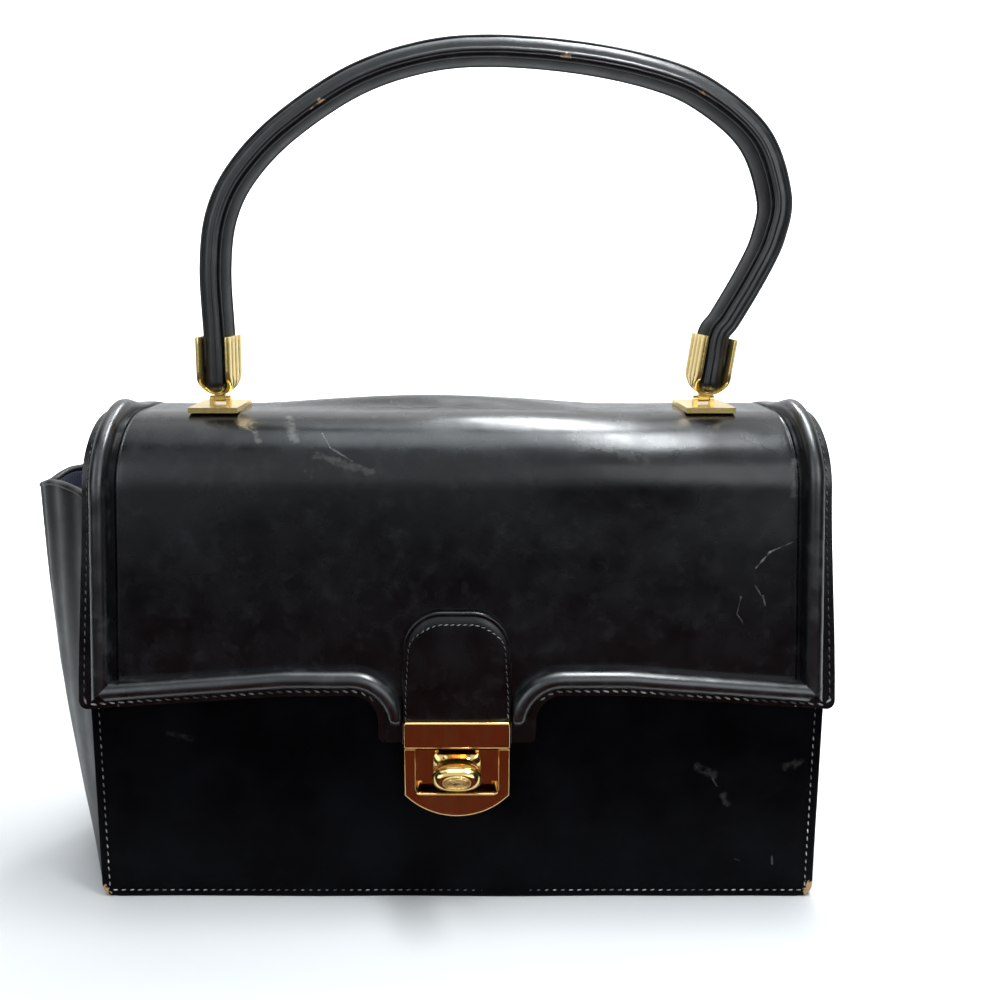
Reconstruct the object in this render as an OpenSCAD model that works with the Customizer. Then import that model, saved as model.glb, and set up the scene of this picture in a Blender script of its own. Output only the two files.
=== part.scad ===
// Structured top handle handbag: a stiff flap bag with rolled welts, a push-down slide lock
// and a rolled handle carried in two gilt cups.
// X runs to the right, Y to the back and Z up. The origin is the middle of the base's underside.

/* [Body] */
// Width of the front and back panels at the top
body_w = 264; // [230:1:300]
// Depth of the base from front face to back face
body_depth = 73; // [60:1:90]
// How far the front panel's hidden top edge stands below the flap's crest
mouth_drop = 31; // [27:1:42]
// How much narrower each side of a panel is at the base than at the top
side_taper = 1; // [0:0.5:4]
// Corner radius at the foot of the panels
foot_corner_r = 4; // [2:0.5:8]
// How far the back panel leans in at the hinge
back_lean_in = 2.5; // [0:0.5:6]

/* [Layers] */
// Thickness of the body's leather
leather_t = 1.8; // [1.2:0.1:2.4]
// Thickness of the boards inside the panels
board_t = 1.5; // [1:0.1:2.5]
// Thickness of the cloth lining
lining_t = 0.8; // [0.5:0.1:1.2]
// Thickness of the base board
base_board_t = 2; // [1.5:0.1:3]
// Thickness of the flap's leather
flap_leather_t = 1.5; // [1:0.1:2]
// Thickness of the board that stiffens the flap
flap_board_t = 1; // [0.6:0.1:1.5]
// Thickness of the flap's lining
flap_lining_t = 0.5; // [0.4:0.1:1]

/* [Flap] */
// Height of the flap's leather at its crest
flap_top = 177; // [172:0.5:185]
// Height of the flap's lower corners
flap_edge = 75.5; // [70:0.5:85]
// Radius of the shoulder, measured on the leather's outside
shoulder_r = 26; // [20:0.5:32]
// Length of the level stretch on top, front to back
level_run = 16; // [12:0.5:20]
// How far the shoulder's front stands behind the front panel's face
shoulder_set = 2.5; // [0:0.5:5]
// Half width of the flap on top
flap_half_top = 131.5; // [120:0.5:150]
// How much wider each side of the flap is at its lower corners
flap_flare = 2; // [0:0.5:4]
// Rise of the lower edge from the corners to the middle
edge_rise = 4.6; // [2:0.2:8]
// Running gap between the flap and the front panel
flap_gap = 1.2; // [1.2:0.1:2]
// Angle that the flap's back stretch falls at, in degrees
fall = 14; // [8:1:20]

/* [Welts] */
// Width of a rolled welt
bead_w = 6.4; // [4:0.2:8]
// Height of a welt above the leather
bead_h = 5.3; // [4:0.1:7]
// Width of the stitched flange outside the end welts
side_flange = 4.6; // [3:0.2:6]
// Width of the stitched flange below the lower welts
low_flange = 3.7; // [2.5:0.1:5]

/* [Gussets] */
// Thickness of a gusset's leather
gusset_t = 1.4; // [1:0.1:2]
// Thickness of a gusset's lining
gusset_lining_t = 0.6; // [0.4:0.1:1]
// How far the left gusset stands out at its foot
left_foot = 15; // [8:1:20]
// How much further the left gusset swells out towards its top
left_swell = 23; // [10:1:30]
// How far the right gusset folds in at its top
right_fold = 23; // [10:1:28]
// Height over which a gusset reaches most of its swell
gusset_rise = 90; // [60:1:120]

/* [Lock] */
// Width of the lock frame and of the bar above it
lock_w = 37.3; // [32:0.1:44]
// Width of the window in the lock frame
window_w = 28.9; // [24:0.1:31]
// How far the frame's top edge stands below the flap's lower corners
lock_drop = 12.9; // [11:0.1:15]
// Height of the frame
lock_h = 25.7; // [22:0.1:30]
// How far the frame stands out from the front panel
lock_depth = 8; // [7.6:0.1:9]
// Width of the slide plate
slide_w = 24.7; // [20:0.1:26]
// Height of the slide plate
slide_h = 14; // [12:0.1:16]
// Travel of the slide plate when it is pushed down
slide_travel = 2.5; // [1:0.1:2.5]
// Width of the knob
knob_w = 17.3; // [14:0.1:20]
// Height of the knob
knob_h = 8.8; // [7:0.1:10]
// How far the knob stands out from the slide plate
knob_out = 12; // [9:0.1:14]
// Half width of the leather tab
tab_half = 19.3; // [16:0.1:22]
// Height of the tab's round top
tab_top = 110.5; // [100:0.5:125]
// Thickness of the tab's leather
tab_t = 1.8; // [1.2:0.1:2.5]
// Height of the metal bar on the tab
bar_h = 9.8; // [8:0.1:12]
// Thickness of the bar
bar_t = 1.6; // [1.2:0.1:2.5]

/* [Handle] */
// Distance between the two cups
handle_span = 184.3; // [170:0.5:196]
// How far the handle's middle stands to the right of the bag's middle
handle_shift = 1.75; // [0:0.25:3]
// Height of the handle's middle line above the hinge pins
handle_rise = 128; // [100:1:160]
// Width of the handle, front to back
handle_w = 18; // [14:0.5:18.4]
// Thickness of the handle, from its flat inside to its crown
handle_t = 8.4; // [7:0.1:8.6]
// Thickness of the handle's leather
handle_leather_t = 1.3; // [1:0.1:1.8]
// Lean of the right cup, in degrees
cup_lean = 8; // [0:1:10]
// Width of a cup across its two legs
cup_w = 11.7; // [11.2:0.1:14]
// Height of a cup above its hinge pin
cup_h = 24; // [20:0.5:28]
// Depth of a cup, front to back
cup_d = 19; // [18.8:0.1:21]
// Thickness of a cup's metal
cup_t = 1.2; // [0.8:0.1:1.3]
// Width of a handle plate
plate_w = 18.2; // [16:0.1:22]
// Depth of a handle plate
plate_d = 22; // [20:0.1:24]
// Thickness of a handle plate
plate_t = 2; // [1.5:0.1:3]
// How far the plates' middle stands behind the middle of the shoulder's curve
plate_set = 4.3; // [3:0.1:6]

/* [Hidden] */
$fn = 48;

// Clearances and the overrun that every cut shares
glue_line = 0.1;
soft_gap = 0.3;
slide_gap = 0.3;
pin_gap = 0.05;
hole_gap = 0.15;
overrun = 1;
cut_reach = 4 * body_depth;
black = [0.05, 0.05, 0.06];
navy = [0.10, 0.11, 0.16];
card = [0.55, 0.45, 0.33];
gold = [0.85, 0.66, 0.30];

// Body, worked out
half_w = body_w / 2;
front_y = -body_depth / 2;
back_y = body_depth / 2;
front_h = flap_top - mouth_drop;
flap_t = flap_leather_t + flap_board_t + flap_lining_t + 2 * glue_line;
base_top = leather_t + glue_line;
seam_w = 5;
seam_out = half_w - side_taper - glue_line;
board_margin = 12.5;
board_half = half_w - board_margin;
board_drop = 1.5;

// Flap profile, worked out in the side view
shoulder_y = front_y + shoulder_set + shoulder_r;
shoulder_z = flap_top - shoulder_r;
edge_y = front_y - flap_gap - flap_t;
reach_y = shoulder_y - edge_y;
reach_z = shoulder_z - flap_edge;
lean = 90 - atan2(reach_z, reach_y) - asin(shoulder_r / norm([reach_y, reach_z]));
back_arc_r = 60;
back_arc_y = shoulder_y + level_run;
back_arc_z = flap_top - back_arc_r;
fold_r = 3;
fold_gap = 0.35;
hinge_y = back_y - back_lean_in - fold_r;
fall_start = [back_arc_y + back_arc_r * sin(fall), back_arc_z + back_arc_r * cos(fall)];
fall_run = (hinge_y + fold_r * sin(fall) - fall_start[0]) / cos(fall);
hinge_z = fall_start[1] - fall_run * sin(fall) - fold_r * cos(fall);

// Flap outline, worked out in the front view
flap_half_low = flap_half_top + flap_flare;
lock_top = flap_edge - lock_drop;
bar_lap = 1;
drop_z = lock_top + bar_lap;
drop_arc_r = 9.6;
drop_corner_r = 2.5;
bead_tuck = 1.5;
drop_arc_x = tab_half + drop_arc_r + low_flange + bead_w - bead_tuck;
knee_run = 22.5;
knee_x = drop_arc_x + knee_run;
knee_z = flap_edge + edge_rise;
drop_arc_z = knee_z - drop_arc_r;
flap_corner_r = 3;
bead_r = bead_w / 2;
bead_x = flap_half_top + flap_flare / 2 - side_flange - bead_r;
bead_corner_z = flap_edge + low_flange + bead_r;

// Lock, worked out
window_h = slide_h + slide_travel + slide_gap;
window_z = lock_top - window_h;
lock_front = front_y - lock_depth;
backplate_t = 1;
slide_front_t = 1.2;
wing_t = 0.8;
wing_lap = 1.15;
wing_w = window_w + 2 * wing_lap;
slide_set = 2.1;
slide_y = lock_front + slide_set;
wing_y = slide_y + slide_front_t;
knob_drop = 6.6;
knob_z = lock_top - knob_drop;
notch_half = 6.5;
notch_h = 3.6;
tongue_half = 6;
tongue_t = 0.8;
tongue_wing = 15;
tongue_tip_up = 0.9;
tongue_top_up = 6.6;
tongue_shoulder_up = 1.2;
bar_rivet_x = 12;
bar_rivet_up = 3.9;
tab_corner_r = 14;
rivet_r = 1.1;
clinch_r = 2;
clinch_t = 0.5;
lug_w = 4;
lug_h = 1.5;
lug_d = 2.3;
lug_drop = 4.3;
lug_z = knob_z - lug_drop;
spring_r = 0.85;
spring_wire_r = 0.2;
spring_turns = 6;

// Handle, worked out
pin_r = 0.6;
pin_rise = 1.9;
pin_z = flap_top + glue_line + plate_t + pin_rise;
plate_y = shoulder_y + plate_set;
knuckle_r = 1.2;
knuckle_w = 4;
ear_t = 1.6;
ear_r = 1.25;
neck_r = 1.2;
stud_r = 1.25;
stud_x = 5.5;
washer_r = 3.2;
washer_t = 0.8;
cup_x = [handle_shift - handle_span / 2, handle_shift + handle_span / 2];
cup_floor = 1.8;
cup_clear_angle = 44;
cup_rim = 1;
reed_count = 4;
reed_r = 1.9;
reed_h = 0.6;
crown = handle_t / 2;
dome_side = 0.8;
lining_strip_t = 0.9;
welt_r = 0.8;
welt_share = 0.74;
end_lift = 3.6;

// Curves
arc_steps = 14;
function arc(centre, r, a0, a1, steps = arc_steps) =
    [for (i = [0 : steps]) let (a = a0 + (a1 - a0) * i / steps)
        [centre[0] + r * cos(a), centre[1] + r * sin(a)]];
function flip(points) = [for (i = [len(points) - 1 : -1 : 0]) points[i]];
function mirror_x(points) = [for (p = points) [-p[0], p[1]]];

// Joins rings of points into one closed solid. Every ring lists its points the same way round,
// and the two end rings are closed as a fan, or as a strip between the halves of the list.
function fan(n) = [for (k = [1 : n - 2]) [0, k, k + 1]];
function strip(n) = [for (k = [0 : n / 2 - 2]) each [[k, k + 1, n - 2 - k], [k, n - 2 - k, n - 1 - k]]];
module skin(rings, cap, flipped = true) {
    n = len(rings[0]);
    last = len(rings) - 1;
    sides = [for (i = [0 : last - 1]) for (k = [0 : n - 1]) let (m = (k + 1) % n) each [
        [i * n + k, (i + 1) * n + k, (i + 1) * n + m], [i * n + k, (i + 1) * n + m, i * n + m]]];
    caps = [for (c = cap) each [[c[0], c[1], c[2]], [last * n + c[2], last * n + c[1], last * n + c[0]]]];
    faces = concat(sides, caps);
    polyhedron([for (ring = rings) each ring], flipped ? [for (f = faces) flip(f)] : faces,
               convexity = 8);
}

// The flap's side view at an offset from the leather's outside, from its lower edge to the hinge
function flap_side(d, low) = concat(
    [[edge_y - low * tan(lean) - d * cos(lean), flap_edge - low + d * sin(lean)]],
    arc([shoulder_y, shoulder_z], shoulder_r + d, 180 - lean, 90),
    arc([back_arc_y, back_arc_z], back_arc_r + d, 90, 90 - fall),
    [[hinge_y + (fold_r + d) * sin(fall), hinge_z + (fold_r + d) * cos(fall)]]);

// The flap's lower outline, one half, from the middle outwards, set in by an amount
function flap_half_outline(inset) = concat(
    [[0, drop_z + inset]],
    arc([drop_arc_x - drop_arc_r - drop_corner_r - inset, drop_z + drop_corner_r + inset],
        drop_corner_r, 270, 360, 6),
    arc([drop_arc_x, drop_arc_z], drop_arc_r + inset, 180, 90),
    [[knee_x, knee_z + inset]],
    arc([flap_half_low - flap_corner_r - inset, flap_edge + flap_corner_r + inset],
        flap_corner_r, 265, 360, 6),
    [[flap_half_top - inset, shoulder_z], [flap_half_top - inset, flap_top + overrun]]);

module flap_outline(inset) {
    half = flap_half_outline(inset);
    translate([0, cut_reach / 2, 0]) rotate([90, 0, 0]) linear_extrude(cut_reach)
        polygon(concat(half, flip(mirror_x(half))));
}

// A layer of the flap between two offsets from the leather's outside
module flap_layer(outer, inner, inset) {
    low = flap_edge - drop_z + overrun;
    difference() {
        intersection() {
            translate([-flap_half_low, 0, 0]) rotate([90, 0, 90]) linear_extrude(2 * flap_half_low)
                polygon(concat(flap_side(-outer, low), flip(flap_side(-inner, low))));
            flap_outline(inset);
        }
        translate([-flap_half_low - overrun, hinge_y, hinge_z]) rotate([0, 90, 0])
            cylinder(r = fold_r + fold_gap, h = 2 * (flap_half_low + overrun));
        stud_holes();
        bar_rivet_holes();
    }
}

module flap_leather() {
    color(black) flap_layer(0, flap_leather_t, 0);
}

module flap_board() {
    color(card) flap_layer(flap_leather_t + glue_line, flap_t - flap_lining_t - glue_line, side_flange);
}

module flap_lining() {
    color(navy) flap_layer(flap_t - flap_lining_t, flap_t, flap_lining_t);
}

// The flap's front face: X across, Z up the face, Y into it, from the lower edge's height
module on_front() {
    translate([0, edge_y, flap_edge]) rotate([-lean, 0, 0]) children();
}

function up_face(z) = (z - flap_edge) / cos(lean);

// A welt's cross-section, across and up: a straight foot under a round back
bead_steps = 8;
bead_section = concat([[-bead_r, glue_line], [bead_r, glue_line]],
    [for (i = [0 : bead_steps]) let (a = 180 * i / bead_steps)
        [bead_r * cos(a), glue_line + bead_h - bead_r + bead_r * sin(a)]]);

// Direction of a flat path at one of its points
function heading(path, i) = let (d = path[min(i + 1, len(path) - 1)] - path[max(i - 1, 0)]) d / norm(d);

// An end welt runs up the front, over the shoulder and along the top, and is mitred at its foot
end_path = concat(
    [[edge_y + (bead_corner_z - flap_edge) * tan(lean), bead_corner_z]],
    arc([shoulder_y, shoulder_z], shoulder_r, 180 - lean, 90),
    arc([back_arc_y, back_arc_z], back_arc_r, 90, 90 - fall, 5),
    [fall_start + (fall_run - bead_w) * [cos(fall), -sin(fall)]]);
module end_bead() {
    skin([for (i = [0 : len(end_path) - 1]) let (d = heading(end_path, i), n = [-d[1], d[0]])
        [for (s = bead_section) let (
                slip = i == 0 ? glue_line - s[0] : 0,
                p = end_path[i] + s[1] * n + slip * d)
            [bead_x + s[0], p[0], p[1]]]], fan(len(bead_section)));
}

module bead_left() { color(black) mirror([1, 0, 0]) end_bead(); }
module bead_right() { color(black) end_bead(); }

// A lower welt runs along the flap's edge from the mitre and turns down beside the tab
low_rise = low_flange + bead_r;
low_path = concat(
    [[bead_x, up_face(bead_corner_z)], [knee_x, up_face(knee_z + low_rise)]],
    arc([drop_arc_x, up_face(drop_arc_z)], drop_arc_r + low_rise, 90, 180));
module lower_bead() {
    on_front() skin([for (i = [0 : len(low_path) - 1]) let (d = heading(low_path, i), n = [d[1], -d[0]])
        [for (s = bead_section) let (
                slip = i == 0 ? glue_line + s[0] : 0,
                p = low_path[i] + s[0] * n + slip * d)
            [max(p[0], tab_half + soft_gap), -s[1], p[1]]]], fan(len(bead_section)));
}

module bead_lower_left() { color(black) mirror([1, 0, 0]) lower_bead(); }
module bead_lower_right() { color(black) lower_bead(); }

// The tab's outline, from below the bar to the round top, drawn upright and thick
module tab_shape(half, thick) {
    top = up_face(tab_top);
    foot = up_face(drop_z);
    linear_extrude(thick) polygon(concat(
        [[-half, foot], [half, foot]],
        arc([half - tab_corner_r, top - tab_corner_r], tab_corner_r, 0, 90),
        arc([tab_corner_r - half, top - tab_corner_r], tab_corner_r, 90, 180)));
}

module lock_tab() {
    color(black) difference() {
        on_front() translate([0, -glue_line, 0]) rotate([90, 0, 0]) tab_shape(tab_half, tab_t);
        bar_rivet_holes();
    }
}

bar_y = 2 * glue_line + tab_t;
rivet_level = up_face(drop_z + bar_rivet_up);

module bar_rivet_holes() {
    on_front() for (side = [-1, 1])
        translate([side * bar_rivet_x, flap_t + tongue_t + overrun, rivet_level]) rotate([90, 0, 0])
            cylinder(r = rivet_r + hole_gap, h = flap_t + tongue_t + overrun + bar_y);
}

module tab_bar() {
    color(gold) difference() {
        on_front() translate([-lock_w / 2, -bar_y - bar_t, up_face(lock_top + slide_gap)])
            cube([lock_w, bar_t, bar_h]);
        on_front() for (side = [-1, 1])
            translate([side * bar_rivet_x, -bar_y + glue_line, rivet_level])
                rotate([90, 0, 0]) cylinder(r = rivet_r + pin_gap, h = bar_t / 2 + glue_line);
    }
}

module bar_rivets() {
    color(gold) on_front() for (side = [-1, 1]) {
        translate([side * bar_rivet_x, flap_t + tongue_t + 2 * glue_line + clinch_t, rivet_level])
            rotate([90, 0, 0]) {
                cylinder(r = clinch_r, h = clinch_t);
                cylinder(r = rivet_r, h = clinch_t + 2 * glue_line + tongue_t + flap_t + bar_y
                                          + bar_t / 2 - glue_line);
            }
    }
}

module catch_tongue() {
    tip = up_face(lock_top - notch_h + tongue_tip_up);
    top = up_face(drop_z + tongue_top_up);
    shoulder = up_face(drop_z + tongue_shoulder_up);
    color(gold) difference() {
        on_front() union() {
            translate([-tongue_half, flap_t + glue_line, tip])
                cube([2 * tongue_half, tongue_t, top - tip]);
            translate([-tongue_wing, flap_t + glue_line, shoulder])
                cube([2 * tongue_wing, tongue_t, top - shoulder]);
        }
        bar_rivet_holes();
    }
}

// The panels' outline in the front view, with round lower corners
module panel_outline(top_z, half, foot_z, r) {
    low_half = half - side_taper;
    translate([0, cut_reach / 2, 0]) rotate([90, 0, 0]) linear_extrude(cut_reach)
        polygon(concat(
            arc([low_half - r, foot_z + r], r, 270, 360, 6),
            [[half, top_z], [-half, top_z]],
            arc([r - low_half, foot_z + r], r, 180, 270, 6)));
}

// The front panel's face in the side view, at a depth behind its outside
function front_at(z) = z < flap_edge ? front_y : front_y + (z - flap_edge) * tan(lean);
function back_at(z) = back_y - back_lean_in * z / hinge_z;

module front_layer(outer, inner, top_z, half, foot_z, r) {
    difference() {
        intersection() {
            translate([-half_w, 0, 0]) rotate([90, 0, 90]) linear_extrude(body_w) polygon([
                [front_y + outer, foot_z], [front_y + outer, flap_edge], [front_at(top_z) + outer, top_z],
                [front_at(top_z) + inner, top_z], [front_y + inner, flap_edge],
                [front_y + inner, foot_z]]);
            panel_outline(top_z, half, foot_z, r);
        }
        lock_rivet_holes();
    }
}

module back_layer(outer, inner, top_z, half, foot_z, r) {
    difference() {
        intersection() {
            translate([-half_w, 0, 0]) rotate([90, 0, 90]) linear_extrude(body_w) polygon([
                [back_at(foot_z) - outer, foot_z], [back_at(top_z) - outer, top_z],
                [back_at(top_z) - inner, top_z], [back_at(foot_z) - inner, foot_z]]);
            panel_outline(top_z, half, foot_z, r);
        }
        translate([-half_w - overrun, hinge_y, hinge_z]) rotate([0, 90, 0])
            cylinder(r = fold_r + glue_line, h = body_w + 2 * overrun);
    }
}

board_in = leather_t + glue_line;
lining_in = board_in + board_t + glue_line;
stack_in = lining_in + lining_t;

module front_panel() {
    color(black) front_layer(0, leather_t, front_h, half_w, 0, foot_corner_r);
}
module front_board() {
    color(card) front_layer(board_in, board_in + board_t, front_h - board_drop, board_half,
                            base_top, leather_t);
}
module front_lining() {
    color(navy) front_layer(lining_in, stack_in, front_h - board_drop, board_half, base_top, leather_t);
}
module back_panel() {
    color(black) back_layer(0, leather_t, hinge_z, half_w, 0, foot_corner_r);
}
module back_board() {
    color(card) back_layer(board_in, board_in + board_t, hinge_z - 2 * fold_r, board_half,
                           base_top, leather_t);
}
module back_lining() {
    color(navy) back_layer(lining_in, stack_in, hinge_z - 2 * fold_r, board_half, base_top, leather_t);
}

// The leather that bends between the back and the flap, as a solid roll
module hinge_fold() {
    color(black) translate([-half_w + seam_w, hinge_y, hinge_z]) rotate([0, 90, 0])
        cylinder(r = fold_r, h = body_w - 2 * seam_w);
}

// A gusset is a sewn flange, the fan-shaped wall and a second flange. Its top edge climbs from
// the front seam to the back seam and sags at the crest between them. side -1 is the left gusset,
// which swells out, and 1 the right one, which folds in.
wall_steps = 16;
last_place = wall_steps + 2;
fan_power = 1.4;
gusset_lining_in = gusset_t + soft_gap;
gusset_stack = gusset_lining_in + gusset_lining_t;
gusset_back_rise = 12;
gusset_crest_sag = 5;
gusset_lining_drop = 2;
function seam_in(side) = leather_t + glue_line + (side < 0 ? 0 : gusset_stack);
function front_seam(z, side) = front_at(z) + seam_in(side);
function back_seam(z, side) = back_at(z) - seam_in(side);
function rise_share(z) = 1 - exp(-z / gusset_rise);
function fan_share(t) = 1 - pow(abs(2 * t - 1), fan_power);
function wall_x(side, t, z) = side < 0
    ? -(seam_out + (left_foot + left_swell * rise_share(z)) * fan_share(t))
    : seam_out - seam_w - right_fold * rise_share(z) * fan_share(t);
function gusset_top(i) = front_h + gusset_back_rise * i / last_place
    - gusset_crest_sag * pow(sin(180 * i / last_place), 2);
function level(i, foot, drop, share) = foot + (gusset_top(i) - drop - foot) * share;

// Its places in plan, each at its own level, at a share of the way from its foot to its top
function gusset_plan(side, foot = 0, drop = 0, share = 0) =
    let (flange_x = side < 0 ? seam_w - seam_out : seam_out,
         last_z = level(last_place, foot, drop, share)) concat(
    [[flange_x, front_seam(level(0, foot, drop, share), side)]],
    [for (i = [0 : wall_steps]) let (t = i / wall_steps, z = level(i + 1, foot, drop, share))
        [wall_x(side, t, z), front_seam(z, side) * (1 - t) + back_seam(z, side) * t]],
    [[flange_x, back_seam(last_z, side)]]);

// The same plan moved towards the inside of the bag
function step_to(plan, i) = plan[min(i + 1, len(plan) - 1)] - plan[max(i - 1, 0)];
function inward(side, d) = side < 0 ? [d[1], -d[0]] / norm(d) : [-d[1], d[0]] / norm(d);
function inset_plan(plan, side, depth) =
    [for (i = [0 : len(plan) - 1]) plan[i] + depth * inward(side, step_to(plan, i))];

rows = 14;
module gusset_sheet(side, outer, inner, foot, drop) {
    skin([for (j = [0 : rows]) let (
            plan = gusset_plan(side, foot, drop, j / rows),
            out = inset_plan(plan, side, outer), in = inset_plan(plan, side, inner))
        concat([for (i = [0 : last_place]) [out[i][0], out[i][1], level(i, foot, drop, j / rows)]],
               [for (i = [last_place : -1 : 0])
                   [in[i][0], in[i][1], level(i, foot, drop, j / rows)]])],
        strip(2 * (last_place + 1)), side < 0);
}

module gusset_left() { color(black) gusset_sheet(-1, 0, gusset_t, base_top, 0); }
module gusset_right() { color(black) gusset_sheet(1, 0, gusset_t, base_top, 0); }
module gusset_lining_left() {
    color(navy) gusset_sheet(-1, gusset_lining_in, gusset_stack, base_top, gusset_lining_drop);
}
module gusset_lining_right() {
    color(navy) gusset_sheet(1, gusset_lining_in, gusset_stack, base_top, gusset_lining_drop);
}

module base_panel() {
    foot = gusset_plan(-1);
    color(black) linear_extrude(leather_t)
        polygon(concat(foot, [[seam_out, back_seam(0, -1)], [seam_out, front_seam(0, -1)]]));
}

module base_slab(z, t) {
    translate([-board_half + side_taper, front_y + stack_in + glue_line, z])
        cube([2 * (board_half - side_taper), body_depth - 2 * (stack_in + glue_line) - side_taper, t]);
}
module base_board() { color(card) base_slab(base_top, base_board_t); }
module base_lining() { color(navy) base_slab(base_top + base_board_t + glue_line, lining_t); }

// A flat pocket on the back lining, open at its top
pocket_w = 150;
pocket_h = 90;
pocket_foot = 30;
pocket_gap = 1.2;
pocket_edge = 3;
module slip_pocket() {
    pocket_lean = atan(back_lean_in / hinge_z);
    face = back_at(pocket_foot) - stack_in - glue_line;
    color(navy) translate([-pocket_w / 2, face, pocket_foot]) rotate([pocket_lean, 0, 0]) {
        translate([0, -pocket_gap - lining_t, 0]) cube([pocket_w, lining_t, pocket_h]);
        translate([0, -pocket_gap - lining_t, 0]) cube([pocket_w, pocket_gap + lining_t, pocket_edge]);
        for (x = [0, pocket_w - pocket_edge])
            translate([x, -pocket_gap - lining_t, 0])
                cube([pocket_edge, pocket_gap + lining_t, pocket_h]);
    }
}

// The lock's outline: straight sides and a shallow round foot
foot_sag = 8.1;
foot_round_r = (pow(lock_w / 2, 2) + pow(foot_sag, 2)) / (2 * foot_sag);
foot_round_angle = asin(lock_w / 2 / foot_round_r);
module lock_outline(thick) {
    rotate([90, 0, 0]) linear_extrude(thick) polygon(concat(
        [[lock_w / 2, lock_top], [-lock_w / 2, lock_top]],
        arc([0, lock_top - lock_h + foot_round_r], foot_round_r,
            270 - foot_round_angle, 270 + foot_round_angle)));
}

module lock_backplate() {
    color(gold) difference() {
        translate([0, front_y - glue_line, 0]) lock_outline(backplate_t);
        lock_rivet_holes();
    }
}

module lock_frame() {
    frame_back = front_y - glue_line - backplate_t - glue_line;
    color(gold) difference() {
        translate([0, frame_back, 0]) lock_outline(frame_back - lock_front);
        translate([-window_w / 2, lock_front - overrun, window_z])
            cube([window_w, lock_depth + 2 * overrun, window_h + overrun]);
        translate([-wing_w / 2 - slide_gap, wing_y - slide_gap, window_z])
            cube([wing_w + 2 * slide_gap, wing_t + 2 * slide_gap, window_h + overrun]);
    }
}

lock_rivet_x = (lock_w + window_w) / 4;
lock_rivet_drops = [4, 14];
module at_lock_rivets() {
    for (side = [-1, 1]) for (drop = lock_rivet_drops)
        translate([side * lock_rivet_x, 0, lock_top - drop]) children();
}
module lock_rivet_holes() {
    at_lock_rivets() translate([0, front_y + stack_in + overrun, 0]) rotate([90, 0, 0])
        cylinder(r = rivet_r + hole_gap, h = stack_in + 2 * overrun + glue_line + backplate_t);
}
module lock_rivets() {
    color(gold) at_lock_rivets() {
        translate([0, front_y + stack_in + glue_line + clinch_t, 0]) rotate([90, 0, 0]) {
            cylinder(r = clinch_r, h = clinch_t);
            cylinder(r = rivet_r, h = clinch_t + stack_in + 3 * glue_line + backplate_t - glue_line / 2);
        }
    }
}

slide_foot = lock_top - slide_h;
module slide_plate() {
    color(gold) difference() {
        union() {
            translate([-slide_w / 2, slide_y, slide_foot])
                cube([slide_w, slide_front_t + wing_t, slide_h]);
            translate([-wing_w / 2, wing_y, slide_foot]) cube([wing_w, wing_t, slide_h]);
            translate([-lug_w / 2, wing_y, lug_z]) cube([lug_w, wing_t + lug_d, lug_h]);
        }
        translate([-notch_half, slide_y - overrun, lock_top - notch_h])
            cube([2 * notch_half, slide_front_t + wing_t + 2 * overrun, notch_h + overrun]);
        translate([0, wing_y + wing_t + overrun, knob_z]) rotate([90, 0, 0])
            cylinder(r = stem_r + pin_gap, h = slide_front_t + wing_t + 2 * overrun);
    }
}

// An oval bar that stands out of the lock, round at both ends
module stadium(w, h, length) {
    rotate([90, 0, 0]) {
        for (side = [-1, 1]) translate([side * (w - h) / 2, 0, 0]) cylinder(d = h, h = length);
        translate([-(w - h) / 2, -h / 2, 0]) cube([w - h, h, length]);
    }
}

stem_r = 1.9;
collar_share = 0.24;
waist_share = 0.16;
waist_in = 1.1;
medal_w = 6.4;
medal_h = 3.6;
medal_t = 0.4;
module latch_knob() {
    collar = knob_out * collar_share;
    waist = knob_out * waist_share;
    color(gold) translate([0, slide_y - glue_line, knob_z]) difference() {
        union() {
            stadium(knob_w, knob_h, collar);
            translate([0, -collar, 0]) stadium(knob_w - 2 * waist_in, knob_h - 2 * waist_in, waist);
            translate([0, -collar - waist, 0]) stadium(knob_w, knob_h, knob_out - collar - waist);
            translate([0, -knob_out, 0]) stadium(medal_w, medal_h, medal_t);
        }
        translate([0, overrun, 0]) rotate([90, 0, 0])
            cylinder(r = stem_r + pin_gap, h = collar + overrun);
    }
}

stem_head_r = 2.5;
stem_head_t = 1;
module knob_stem() {
    collar = knob_out * collar_share;
    color(gold) translate([0, wing_y + wing_t + glue_line + stem_head_t, knob_z]) rotate([90, 0, 0]) {
        cylinder(r = stem_head_r, h = stem_head_t);
        cylinder(r = stem_r, h = stem_head_t + slide_front_t + wing_t + collar);
    }
}

// A small push spring between the frame's foot and the slide plate's lug
module latch_spring() {
    low = window_z + glue_line + spring_wire_r;
    high = lug_z - glue_line - spring_wire_r;
    ring_steps = 8;
    rings = spring_turns * ring_steps;
    centre_y = wing_y + wing_t + slide_gap + spring_r + spring_wire_r;
    coil_r = spring_r - spring_wire_r;
    color("silver") skin([for (i = [0 : rings]) let (
            a = 360 * i / ring_steps, z = low + (high - low) * i / rings)
        [for (b = [0 : 60 : 300]) let (r = coil_r + spring_wire_r * cos(b))
            [r * cos(a), centre_y + r * sin(a), z + spring_wire_r * sin(b)]]], fan(6));
}

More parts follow.
